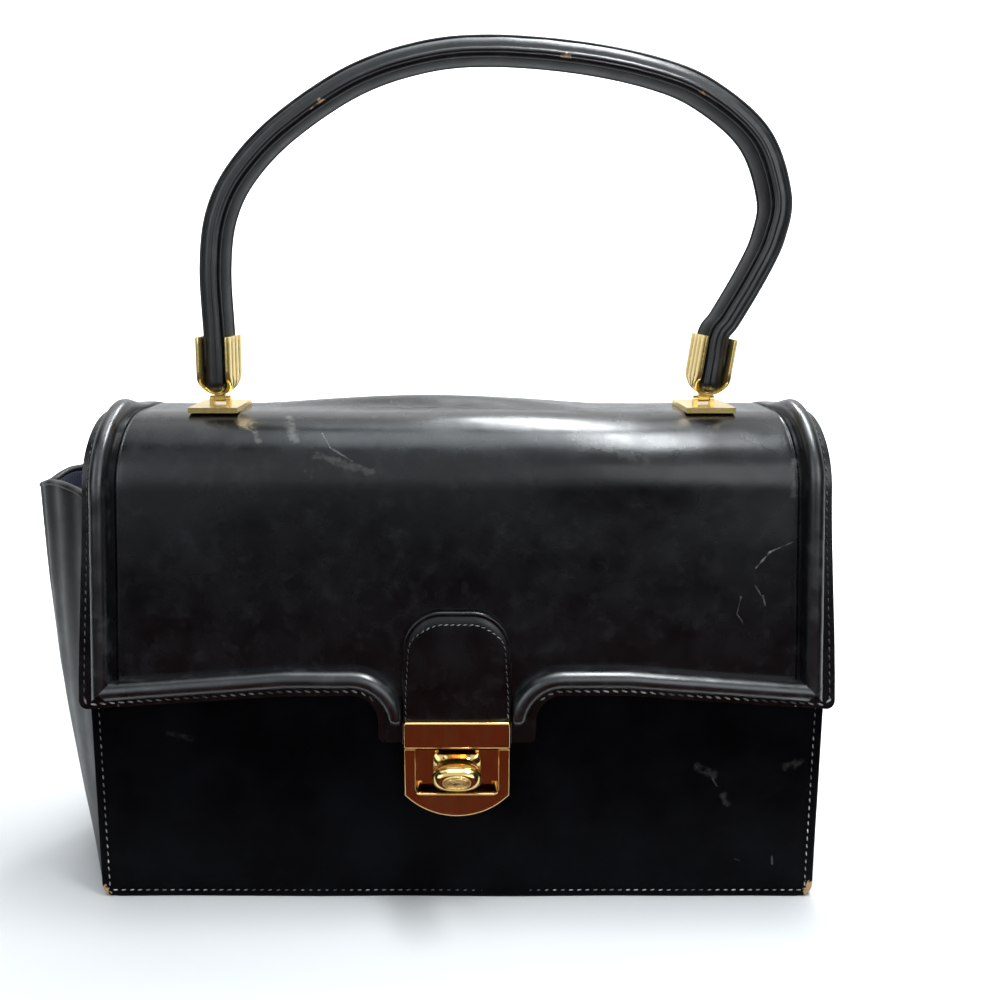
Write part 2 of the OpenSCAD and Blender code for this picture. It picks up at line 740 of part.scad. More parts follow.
// Handle plates, with two ears that hold each hinge pin
module at_stud(side) {
    for (dx = [-stud_x, stud_x]) translate([cup_x[side] + dx, plate_y, 0]) children();
}
module stud_holes() {
    for (side = [0, 1]) at_stud(side) translate([0, 0, flap_top - flap_t - overrun])
        cylinder(r = stud_r + hole_gap, h = flap_t + 2 * overrun);
}
module handle_plate(side) {
    plate_z = flap_top + glue_line;
    difference() {
        translate([cup_x[side], plate_y, 0]) union() {
            translate([-plate_w / 2, -plate_d / 2, plate_z]) cube([plate_w, plate_d, plate_t]);
            for (dx = [-1, 1]) translate([dx * (knuckle_w / 2 + slide_gap + ear_t / 2) - ear_t / 2, 0, 0]) {
                translate([0, 0, pin_z]) rotate([0, 90, 0]) cylinder(r = ear_r, h = ear_t);
                translate([0, -ear_r, plate_z + plate_t / 2])
                    cube([ear_t, 2 * ear_r, pin_z - plate_z - plate_t / 2]);
            }
        }
        translate([cup_x[side] - plate_w / 2, plate_y, pin_z]) rotate([0, 90, 0])
            cylinder(r = pin_r + pin_gap / 2, h = plate_w);
    }
}
module handle_plate_left() { color(gold) handle_plate(0); }
module handle_plate_right() { color(gold) handle_plate(1); }

module plate_studs() {
    below = flap_t + washer_t + 2 * glue_line;
    color(gold) for (side = [0, 1]) at_stud(side)
        translate([0, 0, flap_top - below - clinch_t]) {
            cylinder(r = stud_r, h = below + clinch_t + glue_line / 2);
            cylinder(r = clinch_r, h = clinch_t);
        }
}

module plate_washers() {
    color("silver") for (side = [0, 1]) at_stud(side)
        translate([0, 0, flap_top - flap_t - glue_line - washer_t]) difference() {
            cylinder(r = washer_r, h = washer_t);
            translate([0, 0, -overrun]) cylinder(r = stud_r + hole_gap, h = washer_t + 2 * overrun);
        }
}

module neck_pins() {
    length = knuckle_w + 2 * slide_gap + 2 * ear_t;
    color(gold) for (side = [0, 1])
        translate([cup_x[side] - length / 2, plate_y, pin_z]) rotate([0, 90, 0])
            cylinder(r = pin_r, h = length);
}

// A cup: a U strap around the handle's end with reeded legs, on a knuckle that turns on the pin
cup_middle = cup_floor + cup_w / 2;
cup_inner = cup_w / 2 - cup_t;
reed_pitch = cup_d / reed_count;

// A U-shaped block, open upwards, of a half width and a height
module u_block(half, top, depth) {
    translate([0, depth / 2, 0]) rotate([90, 0, 0]) linear_extrude(depth) {
        translate([0, cup_middle]) circle(r = half);
        translate([-half, cup_middle]) square([2 * half, top - cup_middle]);
    }
}

module reeds() {
    for (side = [-1, 1]) for (i = [0 : reed_count - 1])
        translate([side * (cup_w / 2 + reed_h - reed_r), (i - (reed_count - 1) / 2) * reed_pitch,
                   cup_middle])
            cylinder(r = reed_r, h = cup_h - cup_middle);
}

// The cup's side view: straight above, drawn in below so that it can tilt over the plate
module cup_side() {
    half = cup_d / 2;
    tilt_z = half * tan(cup_clear_angle) - pin_r;
    rotate([90, 0, 90]) translate([0, 0, -cup_w]) linear_extrude(2 * cup_w)
        polygon([[-neck_r, 0], [neck_r, 0], [half, tilt_z], [half, cup_h],
                 [-half, cup_h], [-half, tilt_z]]);
}

module cup(lean_angle) {
    difference() {
        union() {
            rotate([0, lean_angle, 0]) difference() {
                intersection() {
                    union() {
                        u_block(cup_w / 2, cup_h, cup_d);
                        reeds();
                    }
                    cup_side();
                }
                u_block(cup_inner, cup_h + overrun, cup_d + 2 * overrun);
            }
            translate([-knuckle_w / 2, 0, 0]) rotate([0, 90, 0]) cylinder(r = knuckle_r, h = knuckle_w);
            translate([-knuckle_w / 2, -neck_r, 0]) cube([knuckle_w, 2 * neck_r, cup_floor + cup_t / 2]);
        }
        translate([-knuckle_w, 0, 0]) rotate([0, 90, 0])
            cylinder(r = pin_r + pin_gap, h = 2 * knuckle_w);
    }
}

module cup_left() { color(gold) translate([cup_x[0], plate_y, pin_z]) cup(0); }
module cup_right() { color(gold) translate([cup_x[1], plate_y, pin_z]) cup(cup_lean); }

// The handle's middle line: straight in each cup, then through these places between them,
// as shares of the span from the middle and of the rise above the pins
loop_shares = [[-0.503, 0.383], [-0.488, 0.534], [-0.443, 0.660], [-0.355, 0.788], [-0.217, 0.916],
               [-0.079, 0.982], [0.055, 1], [0.229, 0.982], [0.382, 0.938], [0.486, 0.876],
               [0.586, 0.755], [0.630, 0.592], [0.622, 0.477], [0.593, 0.376], [0.541, 0.240]];
function cup_point(side, h) = [cup_x[side] + h * sin(side * cup_lean), pin_z + h * cos(side * cup_lean)];
cup_seat = cup_floor + cup_t + end_lift;
cup_heights = [cup_seat - 2 * end_lift, cup_seat, (cup_seat + cup_h) / 2, cup_h + cup_rim];
knots = concat(
    [for (h = cup_heights) cup_point(0, h)],
    [for (s = loop_shares) [handle_shift + s[0] * handle_span, pin_z + s[1] * handle_rise]],
    [for (h = flip(cup_heights)) cup_point(1, h)]);
loop_steps = 3;
rim_steps = 2 * loop_steps;
function spline(a, b, c, d, t) = 0.5 * (2 * b + (c - a) * t + (2 * a - 5 * b + 4 * c - d) * t * t
                                        + (3 * b - a - 3 * c + d) * t * t * t);
loop_path = concat(
    [for (i = [1 : len(knots) - 3]) for (k = [0 : loop_steps - 1])
        spline(knots[i - 1], knots[i], knots[i + 1], knots[i + 2], k / loop_steps)],
    [knots[len(knots) - 2]]);

// Sweeps a closed section, given as places out of the loop and across it, along the loop,
// leaving out a number of steps at each end
module sweep(section, cap, left_out = 0) {
    skin([for (i = [left_out : len(loop_path) - 1 - left_out])
            let (d = heading(loop_path, i), p = loop_path[i])
        [for (s = section) [p[0] - d[1] * s[0], plate_y + s[1], p[1] + d[0] * s[0]]]], cap);
}

// The domed half of the handle's section at an inset, from one side to the other
dome_step = 22.5;
function dome(inset) = [for (a = [-90 : dome_step : 90])
    [dome_side + (crown - inset - dome_side) * cos(a), (handle_w / 2 - inset) * sin(a)]];
cover_foot = lining_strip_t + glue_line - handle_t / 2;

function dome_band(inset) = let (half = handle_w / 2 - inset)
    concat([[cover_foot, -half]], dome(inset), [[cover_foot, half]]);

module handle_cover() {
    section = concat(dome_band(0), flip(dome_band(handle_leather_t)));
    color(black) sweep(section, strip(len(section)));
}

module handle_core() {
    section = dome_band(handle_leather_t + glue_line);
    color(card) sweep(section, fan(len(section)));
}

module handle_lining() {
    half = handle_w / 2 - glue_line;
    low = -handle_t / 2;
    color(black) sweep([[low, -half], [low + lining_strip_t, -half], [low + lining_strip_t, half],
                        [low, half]], fan(4));
}

module handle_welt(side) {
    y = welt_share * handle_w / 2;
    n = dome_side + (crown - dome_side) * sqrt(1 - welt_share * welt_share) + welt_r + soft_gap;
    color(black) sweep([for (a = [0 : 45 : 315]) [n + welt_r * cos(a), side * y + welt_r * sin(a)]],
                       fan(8), rim_steps);
}
module handle_welt_front() { handle_welt(-1); }
module handle_welt_back() { handle_welt(1); }

front_panel();
front_board();
front_lining();
back_panel();
back_board();
back_lining();
base_panel();
base_board();
base_lining();
gusset_left();
gusset_right();
gusset_lining_left();
gusset_lining_right();
slip_pocket();
hinge_fold();
lock_frame();
lock_backplate();
lock_rivets();
latch_spring();
flap_leather();
flap_board();
flap_lining();
bead_left();
bead_right();
bead_lower_left();
bead_lower_right();
lock_tab();
tab_bar();
bar_rivets();
catch_tongue();
handle_plate_left();
handle_plate_right();
plate_studs();
plate_washers();
neck_pins();
slide_plate();
latch_knob();
knob_stem();
handle_cover();
handle_core();
handle_lining();
handle_welt_front();
handle_welt_back();
cup_left();
cup_right();
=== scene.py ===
"""Structured top handle handbag in polished black calf, with rolled welts, a slide lock and gilt cups.

Every size is in millimetres, as in the part's own source, and is turned into metres as a mesh is made.
X runs to the right, Y to the back and Z up.
"""
import math
import random

import bpy
from mathutils import Matrix, Vector, noise


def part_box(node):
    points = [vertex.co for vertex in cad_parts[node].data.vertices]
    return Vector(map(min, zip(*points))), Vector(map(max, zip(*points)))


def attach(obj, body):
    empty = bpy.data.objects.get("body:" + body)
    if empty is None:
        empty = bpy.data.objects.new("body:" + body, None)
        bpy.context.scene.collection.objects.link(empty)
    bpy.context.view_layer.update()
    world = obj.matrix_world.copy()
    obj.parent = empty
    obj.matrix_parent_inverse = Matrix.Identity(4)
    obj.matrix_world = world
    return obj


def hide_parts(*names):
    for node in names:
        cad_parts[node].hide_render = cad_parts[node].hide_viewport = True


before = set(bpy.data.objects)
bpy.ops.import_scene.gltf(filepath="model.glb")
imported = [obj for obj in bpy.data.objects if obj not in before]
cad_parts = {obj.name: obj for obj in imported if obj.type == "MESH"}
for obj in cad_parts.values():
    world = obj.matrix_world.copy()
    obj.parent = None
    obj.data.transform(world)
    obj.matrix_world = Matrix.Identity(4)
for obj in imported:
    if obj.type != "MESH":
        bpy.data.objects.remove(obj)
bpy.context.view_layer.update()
UNIT = 0.001


def cad(node):
    """Lowest and highest corner of a CAD node, in millimetres."""
    low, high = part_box(node)
    return Vector(low) / UNIT, Vector(high) / UNIT


# Body
HALF_W = cad("front_panel")[1].x
SIDE_TAPER = 1.0
BACK_Y = cad("back_panel")[1].y
FRONT_Y = -BACK_Y
FRONT_H = cad("front_panel")[1].z
BACK_LEAN_IN = 2.5
LEATHER_T = 1.8
LINING_T = 0.8
GLUE = 0.1
STACK_IN = 4.3
BASE_TOP = LEATHER_T + GLUE
FOOT_CORNER_R = 4.0
BOARD_HALF = cad("front_lining")[1].x
BODY_PITCH = 3.0
FOOT_SEAM_Z = 2.6
SIDE_SEAM_W = 3.0
SEAM_LIFT = 0.05
SEAM_SHORT = {"front": 2, "back": 3}

# Flap
FLAP_TOP = cad("flap_leather")[1].z
FLAP_EDGE = 75.5
FLAP_LEATHER_T = 1.5
FLAP_T = 3.2
FLAP_GAP = 1.2
SHOULDER_R = 26.0
SHOULDER_SET = 2.5
LEVEL_RUN = 16.0
BACK_ARC_R = 60.0
FALL = math.radians(14)
FOLD_R = 3.0
FOLD_GAP = 0.35
FLAP_HALF_TOP = 131.5
FLAP_HALF_LOW = cad("flap_leather")[1].x
EDGE_RISE = 4.6
DROP_Z = 63.6
KNEE_X = 60.0
DROP_ARC_X = 37.5
DROP_ARC_R = 9.6
DROP_CORNER_R = 2.5
FLAP_CORNER_R = 3.0

# Welts
BEAD_R = 3.2
BEAD_H = 5.3
BEAD_X = 124.7
LOW_FLANGE = 3.7
WELT_SINK = 0.5
WELT_SHORT = 6.4
SIDE_SEAM_IN = 1.9
LOW_SEAM_IN = 1.7
SEAM_FROM_TAB = 9.5

# Tab and lock
TAB_HALF = 19.3
TAB_TOP = 110.5
TAB_T = 1.8
TAB_CORNER_R = 14.0
BAR_FOOT = 62.9
BAR_H = 9.3
BAR_T = 1.7

# Handle
PLATE_Y = -3.7
PIN_Z = 181.0
CUP_X = (-90.4, 93.9)
CUP_LEAN = math.radians(8)
HANDLE_SPAN = CUP_X[1] - CUP_X[0]
HANDLE_MIDDLE = (CUP_X[0] + CUP_X[1]) / 2
HANDLE_RISE = 128.0
HANDLE_W = 18.0
HANDLE_T = 8.4

# The flap's side view, worked out as (y, z)
shoulder = Vector((FRONT_Y + SHOULDER_SET + SHOULDER_R, FLAP_TOP - SHOULDER_R))
edge = Vector((FRONT_Y - FLAP_GAP - FLAP_T, FLAP_EDGE))
reach = shoulder - edge
LEAN = math.pi / 2 - math.atan2(reach.y, reach.x) - math.asin(SHOULDER_R / reach.length)
FRONT_RUN = math.sqrt(reach.length_squared - SHOULDER_R**2)
SHOULDER_END = FRONT_RUN + SHOULDER_R * (math.pi / 2 - LEAN)
LEVEL_END = SHOULDER_END + LEVEL_RUN
BACK_ARC_END = LEVEL_END + BACK_ARC_R * FALL
back_arc = Vector((shoulder.x + LEVEL_RUN, FLAP_TOP - BACK_ARC_R))
fall_start = back_arc + BACK_ARC_R * Vector((math.sin(FALL), math.cos(FALL)))
HINGE_Y = BACK_Y - BACK_LEAN_IN - FOLD_R
FALL_RUN = (HINGE_Y + FOLD_R * math.sin(FALL) - fall_start.x) / math.cos(FALL)
HINGE_Z = fall_start.y - FALL_RUN * math.sin(FALL) - FOLD_R * math.cos(FALL)
HINGE_REACH = BACK_ARC_END + FALL_RUN - math.sqrt((FOLD_R + FOLD_GAP)**2 - FOLD_R**2)

# Gussets
SEAM_OUT = HALF_W - SIDE_TAPER - GLUE
SEAM_W = 5.0
GUSSET_T = 1.4
GUSSET_LINING_T = 0.6
GUSSET_LINING_IN = 1.7
GUSSET_STACK = GUSSET_LINING_IN + GUSSET_LINING_T
LEFT_FOOT = 15.0
LEFT_SWELL = 23.0
RIGHT_FOLD = 23.0
GUSSET_RISE = 90.0
FAN_POWER = 1.4
GUSSET_TOP = [(0, 146), (0.08, 149.5), (0.2, 151), (0.3, 150.2), (0.4, 148.2), (0.5, 146.8), (0.7, 151),
              (0.85, 155), (1, 158)]
WALL_STEPS = 72
FLANGE_STEPS = 3


# Small sums

def ease(t):
    """Rises smoothly from 0 to 1."""
    t = min(1.0, max(0.0, t))
    return t * t * (3 - 2 * t)


def ridge(distance, width):
    """A smooth bump of height 1 at distance 0."""
    return math.exp(-(distance / width)**2)


def drift(x, y, z, scale, seed=0.0):
    """Slow unevenness between -1 and 1."""
    return noise.noise(Vector((x / scale + seed, y / scale, z / scale)))


def arc(centre, radius, start, end, steps):
    """Points on an arc, its angles in degrees."""
    angles = [math.radians(start + (end - start) * i / steps) for i in range(steps + 1)]
    return [(centre[0] + radius * math.cos(a), centre[1] + radius * math.sin(a)) for a in angles]


def straight(start, end, steps):
    """Points from start up to but without end."""
    return [(start[0] + (end[0] - start[0]) * i / steps, start[1] + (end[1] - start[1]) * i / steps)
            for i in range(steps)]


def spaced(path, pitch, start=0.0):
    """Places at an even pitch along a path of vectors, each with the way that the path runs."""
    marks, gone, due = [], 0.0, start
    for a, b in zip(path, path[1:]):
        length = (b - a).length
        while length > 0 and due <= gone + length:
            marks.append((a.lerp(b, (due - gone) / length), (b - a).normalized()))
            due += pitch
        gone += length
    return marks


# Modelling

def only(piece):
    """Selects one piece alone and makes it active."""
    bpy.ops.object.select_all(action="DESELECT")
    piece.select_set(True)
    bpy.context.view_layer.objects.active = piece


def named(name):
    """Names the piece that was made last."""
    piece = bpy.context.active_object
    piece.name = name
    piece.data.name = name
    return piece


def finish_with(piece, kind, **settings):
    """Adds a modifier and applies it."""
    modifier = piece.modifiers.new(kind.title(), kind)
    for key, value in settings.items():
        setattr(modifier, key, value)
    only(piece)
    bpy.ops.object.modifier_apply(modifier=modifier.name)


def merge_and_turn_out(piece, fill=False):
    """Closes a piece's seam, fills its open ends if asked, and turns its faces outwards."""
    only(piece)
    bpy.ops.object.mode_set(mode="EDIT")
    bpy.ops.mesh.select_all(action="SELECT")
    bpy.ops.mesh.remove_doubles(threshold=1e-6)
    if fill:
        bpy.ops.mesh.select_all(action="SELECT")
        bpy.ops.mesh.fill_holes(sides=0)
    bpy.ops.mesh.select_all(action="SELECT")
    bpy.ops.mesh.normals_make_consistent(inside=False)
    bpy.ops.object.mode_set(mode="OBJECT")


def smooth(piece, angle):
    """Shades a piece smooth but for edges sharper than an angle in degrees."""
    only(piece)
    bpy.ops.object.shade_smooth_by_angle(angle=math.radians(angle))


def laid_grid(name, columns, rows, place):
    """A sheet of columns by rows faces whose corners go to place(column, row)."""
    bpy.ops.object.select_all(action="DESELECT")
    bpy.ops.mesh.primitive_grid_add(x_subdivisions=columns, y_subdivisions=rows, size=1)
    piece = named(name)
    for vertex in piece.data.vertices:
        column = round((vertex.co.x + 0.5) * columns)
        row = round((vertex.co.y + 0.5) * rows)
        vertex.co = place(column, row) * UNIT
    return piece


def leather_sheet(name, columns, rows, place, thick, rim=0.45):
    """A laid grid with a thickness behind it and a softened rim."""
    piece = laid_grid(name, columns, rows, place)
    finish_with(piece, "SOLIDIFY", thickness=thick * UNIT, offset=-1)
    if rim:
        finish_with(piece, "BEVEL", width=rim * UNIT, segments=2, limit_method="ANGLE",
                    angle_limit=math.radians(55))
    smooth(piece, 50)
    return piece


def rolled(name, section, rows, place):
    """A closed tube: section points round it, place(point, row) for each, and both ends filled."""
    count = len(section)
    piece = laid_grid(name, count, rows, lambda i, j: place(section[i % count], j))
    merge_and_turn_out(piece, fill=True)
    smooth(piece, 50)
    return piece


def cut_piece(name, outline, thick, steps, place):
    """A flat piece cut to an outline, raised by its thickness and stepped in: steps are (in, up)."""
    bpy.ops.object.select_all(action="DESELECT")
    bpy.ops.mesh.primitive_circle_add(vertices=len(outline), radius=1, fill_type="NGON")
    piece = named(name)
    for vertex, (x, y) in zip(piece.data.vertices, outline):
        vertex.co = (x * UNIT, y * UNIT, 0)
    bpy.ops.object.mode_set(mode="EDIT")
    bpy.ops.mesh.select_all(action="SELECT")
    bpy.ops.mesh.normals_make_consistent(inside=False)
    bpy.ops.mesh.extrude_region_move(TRANSFORM_OT_translate={"value": (0, 0, thick * UNIT)})
    for inwards, up in steps:
        bpy.ops.mesh.inset(thickness=inwards * UNIT, depth=up * UNIT, use_even_offset=False)
    bpy.ops.object.mode_set(mode="OBJECT")
    for vertex in piece.data.vertices:
        vertex.co = place(vertex.co / UNIT) * UNIT
    merge_and_turn_out(piece)
    return piece


def seam_marks(path, pitch, out, start=0.0):
    """Where stitches lie along a path, as (place, way along, way out)."""
    return [(spot, way, out) for spot, way in spaced(path, pitch, start)]


def stitches(name, rows, length, thread, slant=7):
    """Thread along seams: rows are lists of seam marks, and sizes are in millimetres."""
    bpy.ops.object.select_all(action="DESELECT")
    bpy.ops.mesh.primitive_uv_sphere_add(segments=6, ring_count=4, radius=1)
    stitch = named(name + "_pattern")
    stitch.data.transform(Matrix.Diagonal((length / 2 * UNIT, thread * UNIT, thread * UNIT, 1)))
    shake = random.Random(7)
    copies = []
    for marks in rows:
        for spot, along, out in marks:
            side = out.cross(along).normalized()
            turn = Matrix((along, side, out)).transposed().to_4x4()
            tilt = Matrix.Rotation(math.radians(slant + shake.uniform(-4, 4)), 4, "Z")
            copy = stitch.copy()
            copy.data = stitch.data.copy()
            copy.data.transform(Matrix.Translation(spot * UNIT) @ turn @ tilt)
            bpy.context.collection.objects.link(copy)
            copies.append(copy)
    bpy.data.objects.remove(stitch)
    bpy.ops.object.select_all(action="DESELECT")
    for copy in copies:
        copy.select_set(True)
    bpy.context.view_layer.objects.active = copies[0]
    bpy.ops.object.join()
    piece = named(name)
    bpy.ops.object.shade_smooth()
    return piece


def coat(piece, material):
    """Gives a piece one material in place of any other."""
    piece.data.materials.clear()
    piece.data.materials.append(material)


def hand_over(piece, material, body, *nodes, slot):
    """Gives a finished piece its material and its body, and hides the nodes that it stands for; slot is not
    used.
    """
    coat(piece, material)
    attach(piece, body)
    if nodes:
        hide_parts(*nodes)


# Materials

class Wiring:
    """The shader nodes of a material or a world, under construction."""

    def __init__(self, holder):
        holder.use_nodes = True
        self.tree = holder.node_tree

    def feed(self, socket, value):
        """Joins a socket to another node's output, or sets it to a plain value."""
        if isinstance(value, bpy.types.NodeSocket):
            self.tree.links.new(value, socket)
        elif value is not None:
            socket.default_value = (*value, 1) if socket.type == "RGBA" else value

    def feed_all(self, node, **inputs):
        """Feeds sockets by name, with _ for a space."""
        for key, value in inputs.items():
            self.feed(node.inputs[key.replace("_", " ")], value)
        return node

    def new(self, kind, **inputs):
        return self.feed_all(self.tree.nodes.new("ShaderNode" + kind), **inputs)

    def worked(self, kind, operation, values):
        node = self.new(kind)
        node.operation = operation
        for socket, value in zip(node.inputs, values):
            self.feed(socket, value)
        return node

    def sum(self, operation, *values):
        """Arithmetic on numbers and outputs. Sums and products are kept between 0 and 1."""
        node = self.worked("Math", operation, values)
        node.use_clamp = operation in {"ADD", "MULTIPLY"}
        return node.outputs[0]

    def vectors(self, operation, *values):
        kind = "Value" if operation in {"DOT_PRODUCT", "LENGTH", "DISTANCE"} else "Vector"
        return self.worked("VectorMath", operation, values).outputs[kind]

    def share(self, value, start, end, blend="LINEAR"):
        """How far a value has come from start to end, as 0 to 1."""
        node = self.new("MapRange", Value=value, From_Min=start, From_Max=end)
        node.interpolation_type = blend
        return node.outputs["Result"]


class Finish(Wiring):
    """A material under construction, with a shader and the object's own coordinates."""

    def __init__(self, name, **values):
        self.material = bpy.data.materials.new(name)
        super().__init__(self.material)
        self.shader = self.feed_all(self.tree.nodes["Principled BSDF"], **values)
        self.coordinates = self.new("TexCoord").outputs["Object"]

    def placed(self, stretch, turn=(0, 0, 0)):
        """The coordinates stretched and turned."""
        return self.new("Mapping", Scale=stretch, Rotation=turn, Vector=self.coordinates).outputs["Vector"]

    def noise(self, scale, detail=3.0, rough=0.5, warp=0.0, place=None):
        """Noise with a scale in marks per metre."""
        return self.new("TexNoise", Scale=scale, Detail=detail, Roughness=rough, Distortion=warp,
                        Vector=place or self.coordinates).outputs["Fac"]

    def cells(self, scale):
        return self.new("TexVoronoi", Scale=scale, Vector=self.coordinates).outputs["Distance"]

    def ramp(self, value, *stops):
        """Maps a value through stops of (place, value or colour)."""
        ramp = self.new("ValToRGB", Fac=value)
        elements = ramp.color_ramp.elements
        for element, (place, shade) in zip(elements, stops):
            element.position = place
            element.color = (*((shade,) * 3 if isinstance(shade, (int, float)) else shade), 1)
        return ramp.outputs["Color"]

    def mix(self, share, a, b):
        node = self.new("Mix")
        node.data_type = "RGBA"
        for key, value in (("Factor", share), ("A", a), ("B", b)):
            self.feed(next(s for s in node.inputs if s.name == key and s.enabled), value)
        return next(s for s in node.outputs if s.enabled)

    def near(self, spot, radius):
        """1 at a spot in millimetres, falling to 0 at a radius."""
        return self.share(self.vectors("DISTANCE", self.coordinates, Vector(spot) * UNIT), radius * UNIT, 0)

    def done(self, *bumps, **values):
        """Feeds the shader, stacks bumps of (height, depth in mm, strength) and gives the material."""
        normal = None
        for height, depth, strength in bumps:
            normal = self.new("Bump", Height=height, Distance=depth * UNIT, Strength=strength,
                              Normal=normal).outputs["Normal"]
        self.feed_all(self.shader, Normal=normal, **values)
        return self.material


def scratched(finish, lines, rough):
    """Lines scraped or rubbed into the finish: each is (start, end, width, strength), in millimetres."""
    total = 0.0
    for start, end, width, strength in lines:
        start, way = Vector(start) * UNIT, (Vector(end) - Vector(start)) * UNIT
        from_start = finish.vectors("SUBTRACT", finish.coordinates, start)
        gone = finish.vectors("DOT_PRODUCT", from_start, way)
        along = finish.sum("MULTIPLY", gone, 1 / way.length_squared)
        foot = finish.vectors("MULTIPLY", way, along)
        away = finish.vectors("LENGTH", finish.vectors("SUBTRACT", from_start, foot))
        shaken = finish.sum("ADD", away, finish.sum("MULTIPLY", finish.noise(500), rough * UNIT))
        core = finish.share(shaken, (rough / 2 + width) * UNIT, (rough / 2 + width * 0.3) * UNIT)
        broken = finish.ramp(finish.noise(350, detail=4), (0.36, 0.0), (0.56, strength))
        total = finish.sum("ADD", finish.sum("MULTIPLY", core, broken), total)
    return total


def polished_calf(name, dust_and_sheen, shine, gloss, worn=(), marks=(), smears=(), sheen_back=1.0, wrinkles=0.0,
                  lip=0.0):
    """Black box calf: blue-black, fine grained and glossy, with scuffs, scratches and worn spots.

    Its first number after the name is how much grey lies on it in patches, partly dust and partly a painted
    sheen in place of highlights, shine its least roughness, gloss how strongly it mirrors, sheen_back what
    is left of that at grazing angles, and lip the x of a raised line on both sides.
    """
    finish = Finish(name, Specular_IOR_Level=gloss, Specular_Tint=(sheen_back,) * 3)
    tone = finish.ramp(finish.noise(45, detail=4), (0.35, (0.0013, 0.0014, 0.0019)),
                       (0.7, (0.0030, 0.0034, 0.0044)))
    rub = finish.ramp(finish.noise(160, detail=6, rough=0.65), (0.52, 0.0), (0.8, 1.0))
    # Grey patches, partly dust and partly a painted sheen that stands in for highlights
    colour = finish.mix(finish.sum("MULTIPLY", rub, dust_and_sheen), tone, (0.045, 0.047, 0.050))
    roughness = finish.ramp(finish.noise(90, detail=5), (0.3, shine), (0.75, shine + 0.12))
    if marks:
        lines = scratched(finish, marks, 0.9)
        colour = finish.mix(lines, colour, (0.20, 0.19, 0.18))
        roughness = finish.sum("MAXIMUM", roughness, finish.sum("MULTIPLY", lines, 0.6))
    if smears:
        colour = finish.mix(scratched(finish, smears, 3.0), colour, (0.24, 0.23, 0.21))
    for spot, radius in worn:
        ragged = finish.sum("SUBTRACT", finish.near(spot, radius), finish.noise(900, detail=4))
        colour = finish.mix(finish.ramp(ragged, (0.0, 0.0), (0.09, 1.0)), colour, (0.42, 0.27, 0.14))
    bumps = [(finish.cells(1500), 0.05, 0.16), (finish.noise(2600, detail=2), 0.05, 0.3),
             (finish.noise(120), 0.25, 0.22)]
    if lip:
        x = finish.new("SeparateXYZ", Vector=finish.coordinates).outputs["X"]
        away = finish.sum("ABSOLUTE", finish.sum("SUBTRACT", finish.sum("ABSOLUTE", x), lip * UNIT))
        bumps.append((finish.share(away, 0.9 * UNIT, 0, "SMOOTHSTEP"), 0.5, 0.8))
    if wrinkles:
        bumps.append((finish.noise(620, warp=0.4, place=finish.placed((1, 0.12, 0.45))), 0.3, wrinkles))
    return finish.done(*bumps, Base_Color=colour, Roughness=roughness)


def worn_binding():
    """Leather binding rubbed through to brown-grey along its edge."""
    finish = Finish("binding_rubbed_calf", Specular_IOR_Level=0.4, Roughness=0.42)
    rub = finish.ramp(finish.noise(220, detail=6, rough=0.7), (0.38, 0.0), (0.72, 1.0))
    colour = finish.mix(rub, (0.006, 0.006, 0.007), (0.052, 0.047, 0.040))
    return finish.done((finish.noise(900, detail=4), 0.12, 0.5), Base_Color=colour)


def woven_lining():
    """Dark navy lining with a fine weave."""
    finish = Finish("lining_navy_cloth", Specular_IOR_Level=0.25, Roughness=0.75, Sheen_Weight=0.2)
    threads = []
    for way in ("X", "Z"):
        wave = finish.new("TexWave", Scale=420, Distortion=1.5, Vector=finish.coordinates)
        wave.bands_direction = way
        threads.append(wave.outputs["Fac"])
    weave = finish.sum("MULTIPLY", *threads)
    faded = finish.mix(finish.noise(40, detail=4), (0.010, 0.012, 0.024), (0.028, 0.031, 0.052))
    return finish.done((weave, 0.12, 0.6), Base_Color=finish.mix(weave, faded, (0.045, 0.050, 0.078)))


def gilt(name, colour, rough, tarnish=0.35, metal=1.0, stipple=0.0):
    """Polished gilt plate with fine wipe marks, and rubbed tarnish in patches."""
    finish = Finish(name, Metallic=metal)
    dull = finish.ramp(finish.noise(140, detail=5, rough=0.6), (0.45, 0.0), (0.8, tarnish))
    shade = finish.mix(dull, colour, tuple(c * 0.45 for c in colour))
    wipes = finish.noise(700, place=finish.placed((1, 1, 0.12), (0.2, 0.4, 1.0)))
    rubbed = finish.sum("ADD", finish.sum("MULTIPLY", wipes, 0.5), finish.sum("MULTIPLY", dull, 0.8))
    roughness = finish.ramp(rubbed, (0.15, rough), (0.8, rough + 0.2))
    bumps = [(wipes, 0.02, 0.15), (finish.noise(260, detail=2), 0.06, 0.2)]
    if stipple:
        bumps.append((finish.cells(1700), 0.2, stipple))
    return finish.done(*bumps, Base_Color=shade, Roughness=roughness)


def pressed_board():
    finish = Finish("pressed_fibreboard", Roughness=0.85)
    flecks = finish.noise(1400, detail=5, place=finish.placed((1, 0.4, 1)))
    shade = finish.mix(flecks, (0.26, 0.19, 0.12), (0.52, 0.42, 0.30))
    return finish.done((flecks, 0.1, 0.5), Base_Color=shade)


def packed_filler():
    """The felted leather scrap that a handle is filled with."""
    finish = Finish("packed_leather_filler", Roughness=0.8, Specular_IOR_Level=0.3)
    scraps = finish.cells(260)
    return finish.done((scraps, 0.3, 0.6), (finish.noise(1500), 0.08, 0.5),
                       Base_Color=finish.mix(scraps, (0.16, 0.10, 0.06), (0.34, 0.23, 0.14)))


def drawn_steel():
    finish = Finish("plain_drawn_steel", Metallic=1.0, Base_Color=(0.62, 0.63, 0.65))
    lines = finish.noise(900, place=finish.placed((1, 1, 0.05)))
    return finish.done((lines, 0.02, 0.3), Roughness=finish.ramp(lines, (0.2, 0.24), (0.8, 0.42)))


